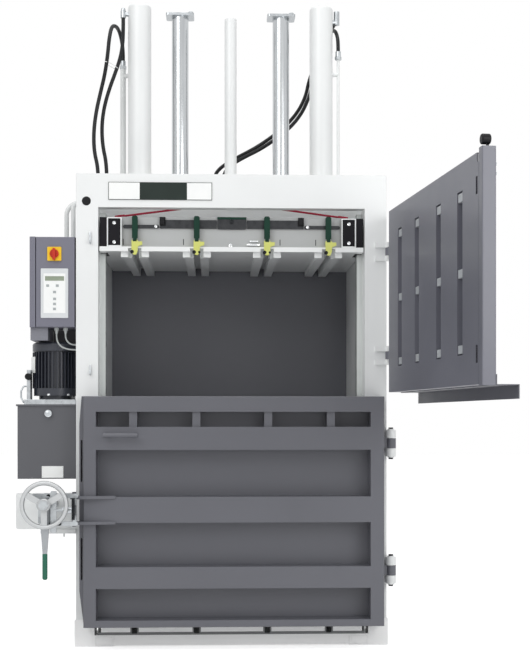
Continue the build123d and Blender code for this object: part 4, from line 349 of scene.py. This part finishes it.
right_side_route = [
    (0.520, -0.010, 2.791),
    (0.520, -0.010, 2.835),
    (0.517, 0.008, 2.876),
    (0.509, 0.053, 2.916),
    (0.493, 0.138, 2.929),
    (0.473, 0.206, 2.877),
    (0.452, 0.225, 2.821),
    (0.431, 0.204, 2.750),
    (0.409, 0.165, 2.674),
    (0.387, 0.121, 2.598),
    (0.352, 0.110, 2.520),
    (0.298, 0.106, 2.452),
    (0.230, 0.104, 2.396),
    (0.148, 0.101, 2.340),
    (0.060, 0.115, 2.299),
    (-0.011, 0.109, 2.255),
    (-0.038, 0.107, 2.202),
    (-0.038, 0.107, 2.152),
]
left_cable_route = [
    (-0.785, -0.418, 1.395),
    (-0.785, -0.418, 1.374),
    (-0.776, -0.421, 1.350),
    (-0.756, -0.423, 1.333),
    (-0.724, -0.424, 1.324),
    (-0.695, -0.424, 1.324),
]
right_cable_route = [
    (-0.745, -0.418, 1.395),
    (-0.745, -0.418, 1.379),
    (-0.739, -0.418, 1.364),
    (-0.7275, -0.418, 1.3525),
    (-0.7115, -0.418, 1.346),
    (-0.695, -0.418, 1.346),
]
free_cords = {
    "left_top_hose": (left_top_route, 0.801),
    "left_side_hose": (left_side_route, 1.026),
    "right_top_hose": (right_top_route, 1.170),
    "right_side_hose": (right_side_route, 1.280),
}
for node, (route, length) in free_cords.items():
    piece = cord_curve(f"{node}_line", route, hose_diameter, "frame", node, "hose_rubber")
for node, route, length in (
    ("control_cable_1", left_cable_route, 0.134),
    ("control_cable_2", right_cable_route, 0.081),
):
    piece = cord_curve(f"{node}_line", route, cable_diameter, "frame", node, "cable_grey")


# Modelling helpers: a start at its size and place, its edges eased, then its finish and its body
def clear_selection():
    """Nothing stays selected before the next piece."""
    if bpy.context.object and bpy.context.object.mode != "OBJECT":
        bpy.ops.object.mode_set(mode="OBJECT")
    bpy.ops.object.select_all(action="DESELECT")


def block(name, low_corner, high_corner, turn=(0.0, 0.0, 0.0)):
    """A box between two corners, turned about its middle."""
    clear_selection()
    middle = [(a + b) / 2 for a, b in zip(low_corner, high_corner)]
    bpy.ops.mesh.primitive_cube_add(size=1, location=middle, rotation=turn)
    piece = bpy.context.object
    piece.name = name
    piece.scale = [b - a for a, b in zip(low_corner, high_corner)]
    bpy.ops.object.transform_apply(location=True, rotation=True, scale=True)
    return piece


nearly_square = 0.95
sharp_angle, smooth_angle = math.radians(35), math.radians(30)
facings = {"front": (math.pi / 2, 0, 0), "up": (0, 0, 0), "side": (0, math.pi / 2, 0)}


def turned(name, place, radius, length, facing="front", sides=32, turn=None):
    """A round or polygon start, its middle at a place."""
    clear_selection()
    bpy.ops.mesh.primitive_cylinder_add(
        vertices=sides, radius=radius, depth=length, location=place, rotation=turn or facings[facing]
    )
    piece = bpy.context.object
    piece.name = name
    bpy.ops.object.transform_apply(location=True, rotation=True, scale=True)
    return piece


def pick_faces(piece, direction, both_ways=False):
    """Edit mode with only the faces picked that point one way, or that way and back."""
    bpy.ops.object.mode_set(mode="EDIT")
    bpy.ops.mesh.select_mode(type="FACE")
    bpy.ops.mesh.select_all(action="DESELECT")
    mesh = bmesh.from_edit_mesh(piece.data)
    for face in mesh.faces:
        towards = face.normal.dot(Vector(direction))
        face.select_set((abs(towards) if both_ways else towards) > nearly_square)
    bmesh.update_edit_mesh(piece.data)


def dish(piece, direction, rim, depth):
    """The face that points one way is inset and sunk, or raised."""
    pick_faces(piece, direction)
    bpy.ops.mesh.inset(thickness=rim, depth=-depth)
    bpy.ops.object.mode_set(mode="OBJECT")


def ease_edges(piece, width, segments=2):
    """Rounded edges and smooth shading."""
    clear_selection()
    piece.select_set(True)
    bpy.context.view_layer.objects.active = piece
    bevel = piece.modifiers.new("eased_edges", "BEVEL")
    bevel.width = width
    bevel.segments = segments
    bevel.limit_method = "ANGLE"
    bevel.angle_limit = sharp_angle
    bpy.ops.object.modifier_apply(modifier=bevel.name)
    bpy.ops.object.shade_smooth_by_angle(angle=smooth_angle)


def settle(piece, body, slot, finish=None):
    """The finish and the body of a finished piece; the slot picks the finish when none is given."""
    if not piece.data.materials:
        piece.data.materials.append(finish or materials[slot])
    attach(piece, body)


def copy_to(piece, name, offset, body):
    """A copy with its own mesh, moved by an offset."""
    twin = piece.copy()
    twin.data = piece.data.copy()
    twin.name = name
    bpy.context.scene.collection.objects.link(twin)
    twin.data.transform(Matrix.Translation(offset))
    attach(twin, body)
    return twin


def bolt_set(name, places, radius, height, facing, body, slot, finish=None, sides=6, turn=None):
    """Bolt heads, the first modelled and the rest copied."""
    rim_share, sink_share, easing_share = 0.22, 0.1, 0.12
    first = turned(f"{name}_1", places[0], radius, height, facing, sides, turn)
    outward = {"front": (0, -1, 0), "up": (0, 0, 1), "side": (1, 0, 0)}[facing]
    if turn is None:
        dish(first, outward, radius * rim_share, radius * sink_share)
    ease_edges(first, radius * easing_share)
    settle(first, body, slot, finish)
    for number, place in enumerate(places[1:], 2):
        offset = [b - a for a, b in zip(places[0], place)]
        copy_to(first, f"{name}_{number}", offset, body)


# Finishes of the small pieces
# Smooth printed foil, matt white
white_foil = moulding("white_foil", "#F1F3F2", "#FAFBFA", (0.35, 0.45), 300.0, 0.05)
# Printed foil, green-black
dark_foil = moulding("dark_foil", "#16211D", "#1E2B26", (0.3, 0.4), 300.0, 0.05)
# Display glass over a grey-green crystal
display_glass = moulding("display_glass", "#87937F", "#9CA694", (0.12, 0.18), 200.0, 0.02)
# Grey print of the key fields
key_print = moulding("key_print", "#9EA5A6", "#B1B7B8", (0.4, 0.5), 300.0, 0.05)
# Blackened steel fasteners
black_steel = metal("blackened_steel", "#1D1E20", "#36383A", (0.35, 0.5))
# Bright turned steel with fine rings
bright_steel = metal("bright_turned_steel", "#C6C9CB", "#E9EBEC", (0.15, 0.28), scale=150.0)

# Plate on the header: three bare fields in a dark border
header_front = -0.450
skin_gap = 0.0002
plate_left, plate_right = -0.551, -0.0895
plate_low, plate_high = 1.993, 2.0715
plate_proud = 0.0034
plate_border = 0.0022
border_reach = 0.003
field_cuts = (-0.412, -0.201)
header_plate = block(
    "header_plate",
    (plate_left, header_front - plate_proud, plate_low),
    (plate_right, header_front - skin_gap, plate_high),
)
for finish in (dark_foil, white_foil):
    header_plate.data.materials.append(finish)
pick_faces(header_plate, (0, -1, 0))
bpy.ops.mesh.inset(thickness=plate_border, depth=0)
for cut in field_cuts:
    bpy.ops.mesh.select_all(action="SELECT")
    bpy.ops.mesh.bisect(plane_co=(cut, 0, 0), plane_no=(1, 0, 0))
bpy.ops.object.mode_set(mode="OBJECT")
for face in header_plate.data.polygons:
    x, _, z = face.center
    within = plate_left + border_reach < x < plate_right - border_reach
    upright = plate_low + border_reach < z < plate_high - border_reach
    on_white = x < field_cuts[0] or x > field_cuts[1]
    to_front = face.normal.y < -nearly_square
    face.material_index = 1 if to_front and within and upright and on_white else 0
settle(header_plate, "frame", "black_plastic")

# Round blanking plug in the header's left corner
plug_radius, plug_height = 0.020, 0.0010
plug = turned("header_plug", (-0.649, header_front - 0.0006, 1.9865), plug_radius, plug_height)
for ring, sink in ((0.0045, 0.0004), (0.0065, -0.0003)):
    dish(plug, (0, -1, 0), ring, sink)
ease_edges(plug, 0.0002)
settle(plug, "frame", "black_plastic")

# Hooks on the left post, which pass through the slits of the feed door
hook_left, hook_right = -0.6345, -0.6275
hook_depth = 0.012
hook_middles_and_halves = ((1.8207, 0.026), (1.2325, 0.0225))
nose_top, nose_reach, nose_rise = 0.009, 0.014, 0.004
for number, (hook_z, hook_half) in enumerate(hook_middles_and_halves, 1):
    hook = block(
        f"post_hook_{number}",
        (hook_left, header_front - hook_depth, hook_z - hook_half),
        (hook_right, header_front - skin_gap, hook_z + hook_half),
    )
    pick_faces(hook, (0, -1, 0))
    bpy.ops.mesh.subdivide(number_cuts=2)
    bpy.ops.mesh.select_all(action="DESELECT")
    mesh = bmesh.from_edit_mesh(hook.data)
    mesh.faces.ensure_lookup_table()
    for face in mesh.faces:
        low_end = face.calc_center_median().z < hook_z - nose_top
        face.select_set(face.normal.y < -nearly_square and low_end)
    bmesh.update_edit_mesh(hook.data)
    bpy.ops.mesh.extrude_region_move(TRANSFORM_OT_translate={"value": (0, -nose_reach, nose_rise)})
    bpy.ops.object.mode_set(mode="OBJECT")
    ease_edges(hook, 0.0015)
    settle(hook, "frame", "zinc_steel")

# Keypad: foil, display window and key fields
panel_front = -0.458
key_sink, key_proud = 0.0003, 0.0008
key_half_width, key_half_height = 0.0065, 0.0055
foil = block(
    "keypad_foil",
    (-0.8385, panel_front + key_sink, 1.4755),
    (-0.7405, panel_front + 0.0014, 1.6725),
)
ease_edges(foil, 0.0004, 1)
settle(foil, "box_lid", "keypad_film", white_foil)
window = block(
    "display_window",
    (-0.831, panel_front - 0.0012, 1.6295),
    (-0.747, panel_front + key_sink, 1.6495),
)
dish(window, (0, -1, 0), 0.0018, 0.0006)
ease_edges(window, 0.0003, 1)
settle(window, "box_lid", "keypad_film", display_glass)
key_middles = (
    (-0.8195, 1.6075),
    (-0.7770, 1.6075),
    (-0.7892, 1.5790),
    (-0.7892, 1.5485),
    (-0.7892, 1.5260),
    (-0.7892, 1.5040),
)
for number, (key_x, key_z) in enumerate(key_middles, 1):
    key = block(
        f"key_field_{number}",
        (key_x - key_half_width, panel_front - key_proud, key_z - key_half_height),
        (key_x + key_half_width, panel_front + key_sink, key_z + key_half_height),
    )
    dish(key, (0, -1, 0), 0.0016, 0.0004)
    ease_edges(key, 0.0003, 1)
    settle(key, "box_lid", "keypad_film", key_print)

# White label on the motor's left flank and its flange bolts
label_turn = math.radians(-66)
label_reach = 0.1058
label_half_width, label_half_thickness = 0.029, 0.0008
label_low, label_high = 1.2235, 1.2965
motor_axis = (-0.804, -0.290)
flange_reach, flange_top = 0.096, 1.1235
flange_degrees = (-12, 42, 168, 222)
label_x = motor_axis[0] + label_reach * math.sin(label_turn)
label_y = motor_axis[1] - label_reach * math.cos(label_turn)
label = block(
    "motor_label",
    (label_x - label_half_width, label_y - label_half_thickness, label_low),
    (label_x + label_half_width, label_y + label_half_thickness, label_high),
    (0, 0, label_turn),
)
dish(label, (math.sin(label_turn), -math.cos(label_turn), 0), 0.002, 0.0003)
ease_edges(label, 0.0003, 1)
settle(label, "frame", "motor_paint", white_foil)
flange_places = [
    (
        motor_axis[0] + flange_reach * math.sin(angle),
        motor_axis[1] - flange_reach * math.cos(angle),
        flange_top,
    )
    for angle in map(math.radians, flange_degrees)
]
bolt_set("motor_bolt", flange_places, 0.008, 0.009, "up", "frame", "motor_paint", bright_steel)

# Thin dark sheet behind the cables, from the unit's bracket to the post: painted shade behind the cables
cable_shade_sheet = block("cable_shade_sheet", (-0.8216, -0.2400, 1.3630), (-0.6954, -0.2380, 1.4226))
dish(cable_shade_sheet, (0, -1, 0), 0.006, 0.0006)
ease_edges(cable_shade_sheet, 0.0005, 1)
settle(cable_shade_sheet, "frame", "motor_paint", enamel("shade_sheet_enamel", "#3A3940", "#46454C", (0.45, 0.6)))

# White plate on the tank with its rivets, and the filler's bright cap
tank_front = -0.430
tank_plate = block(
    "tank_plate",
    (-0.8490, tank_front - 0.0014, 0.752),
    (-0.7533, tank_front - skin_gap, 0.8037),
)
ease_edges(tank_plate, 0.0004, 1)
settle(tank_plate, "frame", "tank_paint", white_foil)
rivet_columns, rivet_rows = (-0.8450, -0.7573), (0.756, 0.7997)
rivets = [(x, tank_front - 0.0019, z) for x in rivet_columns for z in rivet_rows]
bolt_set("plate_rivet", rivets, 0.002, 0.0012, "front", "frame", "tank_paint", bright_steel, sides=16)
cap_radius, cap_height = 0.0165, 0.0076
cap = turned("filler_cap", (-0.819, tank_front - 0.0140, 1.039), cap_radius, cap_height)
for ring, sink in ((0.004, 0.0015), (0.005, -0.0025)):
    dish(cap, (0, -1, 0), ring, sink)
ease_edges(cap, 0.0008)
settle(cap, "frame", "tank_paint", materials["zinc_steel"])

# Closure: dark nuts on the yoke's arms and a dark cap along its toggle plate
arm_front = -0.6096
arm_columns, arm_rows = (-0.7965, -0.7485), (0.681, 0.5605)
yoke_nuts = [(x, arm_front - 0.0042, z) for x in arm_columns for z in arm_rows]
bolt_set("yoke_nut", yoke_nuts, 0.0085, 0.008, "front", "closure_yoke", "zinc_steel", black_steel)
cap_front, cap_back = -0.6612, -0.6606
toggle_cap = block("toggle_cap", (-0.6915, cap_front, 0.5805), (-0.6775, cap_back, 0.6750))
ease_edges(toggle_cap, 0.0002, 1)
settle(toggle_cap, "closure_yoke", "black_plastic", black_steel)

# Press plate: bolts and bright frames on the corner blocks
block_front = -0.432
block_gap = 0.0003
block_middle, block_outer, block_inner = 0.527, 0.5595, 0.4935
block_rows = (1.892, 1.806)
frame_low, frame_high = 1.7868, 1.9175
frame_proud, frame_rim = 0.0040, 0.0052
for side_name, side in (("left", -1), ("right", 1)):
    bolts = [(side * block_middle, block_front - 0.0032, z) for z in block_rows]
    block_bolt = f"{side_name}_block_bolt"
    bolt_set(block_bolt, bolts, 0.0085, 0.006, "front", "press_plate", "zinc_steel", bright_steel)
    edges = sorted((side * block_outer, side * block_inner))
    border = block(
        f"{side_name}_block_frame",
        (edges[0], block_front - frame_proud, frame_low),
        (edges[1], block_front - block_gap, frame_high),
    )
    pick_faces(border, (0, -1, 0), both_ways=True)
    bpy.ops.mesh.inset(thickness=frame_rim, use_individual=True)
    bpy.ops.mesh.delete(type="FACE")
    bpy.ops.mesh.select_mode(type="EDGE")
    bpy.ops.mesh.select_non_manifold()
    bpy.ops.mesh.bridge_edge_loops()
    bpy.ops.mesh.select_all(action="SELECT")
    bpy.ops.mesh.normals_make_consistent(inside=False)
    bpy.ops.object.mode_set(mode="OBJECT")
    ease_edges(border, 0.0008, 1)
    settle(border, "press_plate", "frame_paint")

# Press plate: link bolts, posts and green edge of the links, then the fascia's bolt, clamp and slits
link_front = -0.408
fascia_front = -0.400
link_bolts = [(side * 0.342, link_front - 0.0027, 1.8805) for side in (-1, 1)]
bolt_set("link_bolt", link_bolts, 0.0075, 0.005, "front", "press_plate", "zinc_steel", bright_steel)
post_outer, post_inner = 0.325, 0.299
post_low, post_high = 1.8855, 1.9225
post_rim = 0.006
for side_name, side in (("left", -1), ("right", 1)):
    ends = sorted((side * post_outer, side * post_inner))
    post = block(
        f"{side_name}_link_post",
        (ends[0], link_front - 0.009, post_low),
        (ends[1], link_front - block_gap, post_high),
    )
    dish(post, (0, -1, 0), post_rim, -post_rim)
    ease_edges(post, 0.0015)
    settle(post, "press_plate", "black_plastic")
green_edge = block(
    "centre_green_edge",
    (-0.0655, link_front - 0.0030, 1.9150),
    (0.0655, link_front - block_gap, 1.9248),
)
ease_edges(green_edge, 0.001)
settle(green_edge, "press_plate", "green_grip")
centre_pin = [(0.0, link_front - 0.0022, 1.9040)]
bolt_set("centre_pin", centre_pin, 0.0095, 0.004, "front", "press_plate", "black_plastic", black_steel, 24)
fascia_bolt = [(-0.006, fascia_front - 0.0042, 1.797)]
bolt_set("fascia_bolt", fascia_bolt, 0.010, 0.008, "front", "press_plate", "zinc_steel", bright_steel)
clamp_nose = 0.008
clamp = block(
    "fascia_clamp",
    (0.074, fascia_front - 0.012, 1.795),
    (0.126, fascia_front - skin_gap, 1.805),
)
pick_faces(clamp, (-1, 0, 0))
bpy.ops.mesh.inset(thickness=0.002, depth=0)
bpy.ops.mesh.extrude_region_move(TRANSFORM_OT_translate={"value": (-clamp_nose, 0, 0)})
bpy.ops.object.mode_set(mode="OBJECT")
ease_edges(clamp, 0.002)
settle(clamp, "press_plate", "zinc_steel", bright_steel)
clamp_rod = turned("fascia_clamp_rod", (0.100, fascia_front - 0.0065, 1.816), 0.0045, 0.040, "side")
ease_edges(clamp_rod, 0.001)
settle(clamp_rod, "press_plate", "zinc_steel", bright_steel)
slit_places = (-0.489, -0.218, 0.218, 0.3796)
slit_half = 0.0016
slit_low, slit_high = 1.799, 1.826
for number, slit_x in enumerate(slit_places, 1):
    slit = block(
        f"fascia_slit_{number}",
        (slit_x - slit_half, fascia_front - 0.0009, slit_low),
        (slit_x + slit_half, fascia_front - 0.0001, slit_high),
    )
    ease_edges(slit, 0.0003, 1)
    settle(slit, "press_plate", "black_plastic")

# Strap clips: a dark nut beside each clip, and a pin at the two inner ones
clip_front = -0.4483
clip_nut_z = 1.7616
nut_columns, pin_columns = (-0.4465, -0.1695, 0.1465, 0.4235), (-0.1465, 0.1695)
clip_nuts = [(x, clip_front + 0.0042, clip_nut_z) for x in nut_columns]
bolt_set("clip_nut", clip_nuts, 0.0085, 0.0102, "front", "press_plate", "black_plastic", sides=12)
clip_pins = [(x, clip_front + 0.0036, clip_nut_z) for x in pin_columns]
bolt_set("clip_pin", clip_pins, 0.0055, 0.0084, "front", "press_plate", "black_plastic", sides=12)

# Bale door hinges: the dark heads and feet of their pins
hinge_x, hinge_y = 0.711, -0.475
head_rows, foot_rows = (0.9737, 0.4057), (0.8383, 0.2703)
pin_heads = [(hinge_x, hinge_y, z) for z in head_rows]
bolt_set("hinge_pin_head", pin_heads, 0.0105, 0.007, "up", "frame", "black_plastic", black_steel, 24)
pin_feet = [(hinge_x, hinge_y, z) for z in foot_rows]
bolt_set("hinge_pin_foot", pin_feet, 0.0105, 0.007, "up", "frame", "black_plastic", black_steel, 24)

# Feed door: two bolt heads on the outside of its end bar
open_turn = math.radians(276)
feed_hinge = (0.699, -0.4623)
along = (math.cos(open_turn), math.sin(open_turn))
across = (-math.sin(open_turn), math.cos(open_turn))
bar_place = (1.373, 0.0412)
bar_x = feed_hinge[0] + bar_place[0] * along[0] + bar_place[1] * across[0]
bar_y = feed_hinge[1] + bar_place[0] * along[1] + bar_place[1] * across[1]
bar_bolts = [(bar_x, bar_y, z) for z in (1.888, 1.855)]
bolt_turn = (0, math.pi / 2, open_turn - math.radians(270))
bolt_set("end_bar_bolt", bar_bolts, 0.0075, 0.006, "side", "feed_door", "zinc_steel", turn=bolt_turn)

# Feed door: pockets behind the slits, which take the hooks of the post, in matt black as painted shade of
# their recesses
pocket_along, pocket_across = 1.330, 0.0055
pocket_half, pocket_half_height = 0.0140, 0.036
pocket_wall, pocket_sink = 0.003, 0.024
pocket_x = feed_hinge[0] + pocket_along * along[0] + pocket_across * across[0]
pocket_y = feed_hinge[1] + pocket_along * along[1] + pocket_across * across[1]
for number, slit_z in enumerate((1.823, 1.239), 1):
    pocket = block(
        f"slit_pocket_{number}",
        (pocket_x - pocket_half, pocket_y - pocket_half, slit_z - pocket_half_height),
        (pocket_x + pocket_half, pocket_y + pocket_half, slit_z + pocket_half_height),
        (0, 0, open_turn),
    )
    dish(pocket, (-across[0], -across[1], 0), pocket_wall, pocket_sink)
    ease_edges(pocket, 0.0008, 1)
    settle(pocket, "feed_door", "black_plastic")

# Base: white end caps in the rails and light end caps in the floor's hollow planks, in the base's brighter
# enamel, painted light in the shade under the door
rail_front = -0.450
rail_inner, rail_outer = 0.5345, 0.6065
rail_low, rail_high = 0.0065, 0.0435
for side_name, side in (("left", -1), ("right", 1)):
    ends = sorted((side * rail_inner, side * rail_outer))
    rail_cap = block(
        f"{side_name}_rail_cap",
        (ends[0], rail_front, rail_low),
        (ends[1], rail_front + 0.006, rail_high),
    )
    ease_edges(rail_cap, 0.0012)
    settle(rail_cap, "frame", "frame_paint", own_finish["base_frame"])
plank_front = -0.4497
plank_low, plank_high = 0.0625, 0.1035
plank_inset = 0.0185
plank_reach = 0.5905
plank_ends = (-0.603, -0.435, -0.158, 0.158, 0.435, 0.603)
for number, (left_end, right_end) in enumerate(zip(plank_ends, plank_ends[1:]), 1):
    cap_left = max(left_end + plank_inset, -plank_reach)
    cap_right = min(right_end - plank_inset, plank_reach)
    plank_cap = block(
        f"plank_cap_{number}",
        (cap_left, plank_front, plank_low),
        (cap_right, plank_front + 0.004, plank_high),
    )
    ease_edges(plank_cap, 0.0008)
    settle(plank_cap, "frame", "floor_steel", own_finish["base_frame"])

# White tie round the two left hoses
tie_size = (0.142, 0.024, 0.09)
clear_selection()
bpy.ops.mesh.primitive_torus_add(
    location=(-0.565, -0.0925, 2.690),
    rotation=(0, 0, math.radians(70)),
    major_radius=0.5,
    minor_radius=0.02,
    major_segments=48,
    minor_segments=8,
)
hose_tie = bpy.context.object
hose_tie.name = "hose_tie"
hose_tie.scale = tie_size
bpy.ops.object.transform_apply(location=True, rotation=True, scale=True)
bpy.ops.object.shade_smooth_by_angle(angle=smooth_angle)
settle(hose_tie, "frame", "cable_grey", white_foil)

# Camera at the photograph's place
camera_place = (-0.085, -6.174, 1.010)
camera_turn = -2.33
focal_pixels = 1278.0
picture_height = 654.0
horizon_drop = 93.0
camera_data = bpy.data.cameras.new("photo_camera")
camera_data.sensor_width = 36.0
camera_data.lens = focal_pixels / picture_height * camera_data.sensor_width
camera_data.shift_y = horizon_drop / picture_height
camera_data.clip_end = 100.0
camera = bpy.data.objects.new("photo_camera", camera_data)
camera.location = camera_place
camera.rotation_euler = (math.radians(90), 0, math.radians(camera_turn))
bpy.context.scene.collection.objects.link(camera)
bpy.context.scene.camera = camera

# Floor, light and picture settings
paper_glow = 0.5
sky_light = 0.52


def ray_to_eye(tree):
    """One on rays that the camera sees straight, in gloss or through glass, else nothing."""
    ray = add_node(tree, "ShaderNodeLightPath")
    straight_or_gloss = add_node(
        tree,
        "ShaderNodeMath",
        {0: ray.outputs["Is Camera Ray"], 1: ray.outputs["Is Glossy Ray"]},
        operation="MAXIMUM",
    )
    return add_node(
        tree,
        "ShaderNodeMath",
        {0: straight_or_gloss.outputs[0], 1: ray.outputs["Is Transmission Ray"]},
        operation="MAXIMUM",
    ).outputs[0]


bpy.ops.mesh.primitive_plane_add(size=60, location=(0, 0, -0.001))
floor = bpy.context.object
floor.name = "studio_floor"
floor_material, floor_tree, floor_shader = new_material("studio_paper")
floor_grain = object_noise(floor_tree, 40.0)
paper_white = vary(floor_tree, floor_grain, "#F6F6F6", "#FAFAFA")
floor_tree.links.new(paper_white, floor_shader.inputs["Base Color"])
floor_shader.inputs["Roughness"].default_value = 0.9
# To the camera and in gloss the paper shines a little, so that it is white and keeps its shadow
floor_seen = ray_to_eye(floor_tree)
floor_glow = add_node(floor_tree, "ShaderNodeMath", {0: floor_seen, 1: paper_glow}, operation="MULTIPLY")
floor_shader.inputs["Emission Color"].default_value = linear("#FFFFFF")
floor_tree.links.new(floor_glow.outputs[0], floor_shader.inputs["Emission Strength"])
floor.data.materials.append(floor_material)

# The sky lights the object softly and stays white to the camera and in gloss
world = bpy.data.worlds.new("studio_sky")
world.use_nodes = True
sky = world.node_tree
sky.nodes.clear()
soft_sky = add_node(sky, "ShaderNodeBackground", {"Color": linear("#FFFFFF"), "Strength": sky_light})
white_sky = add_node(sky, "ShaderNodeBackground", {"Color": linear("#FFFFFF"), "Strength": 1.0})
mixed_sky = add_node(sky, "ShaderNodeMixShader", {0: ray_to_eye(sky)})
sky.links.new(soft_sky.outputs[0], mixed_sky.inputs[1])
sky.links.new(white_sky.outputs[0], mixed_sky.inputs[2])
sky_output = add_node(sky, "ShaderNodeOutputWorld")
sky.links.new(mixed_sky.outputs[0], sky_output.inputs["Surface"])
bpy.context.scene.world = world


def softbox(name, place, target, size, power):
    """A square area light that faces a point."""
    light_data = bpy.data.lights.new(name, "AREA")
    light_data.size = size
    light_data.energy = power
    light = bpy.data.objects.new(name, light_data)
    light.location = place
    light.rotation_euler = (Vector(target) - Vector(place)).to_track_quat("-Z", "Y").to_euler()
    bpy.context.scene.collection.objects.link(light)
    return light


softbox("key_light", (-3.0, -5.2, 4.6), (0, 0, 1.4), 3.0, 92)
softbox("fill_light", (2.3, -4.0, 2.3), (0.2, -0.4, 1.4), 2.0, 46)
softbox("top_light", (0.0, -1.6, 6.2), (0, 0, 1.4), 4.0, 80)

scene = bpy.context.scene
scene.view_settings.view_transform = "Standard"
scene.view_settings.look = "None"
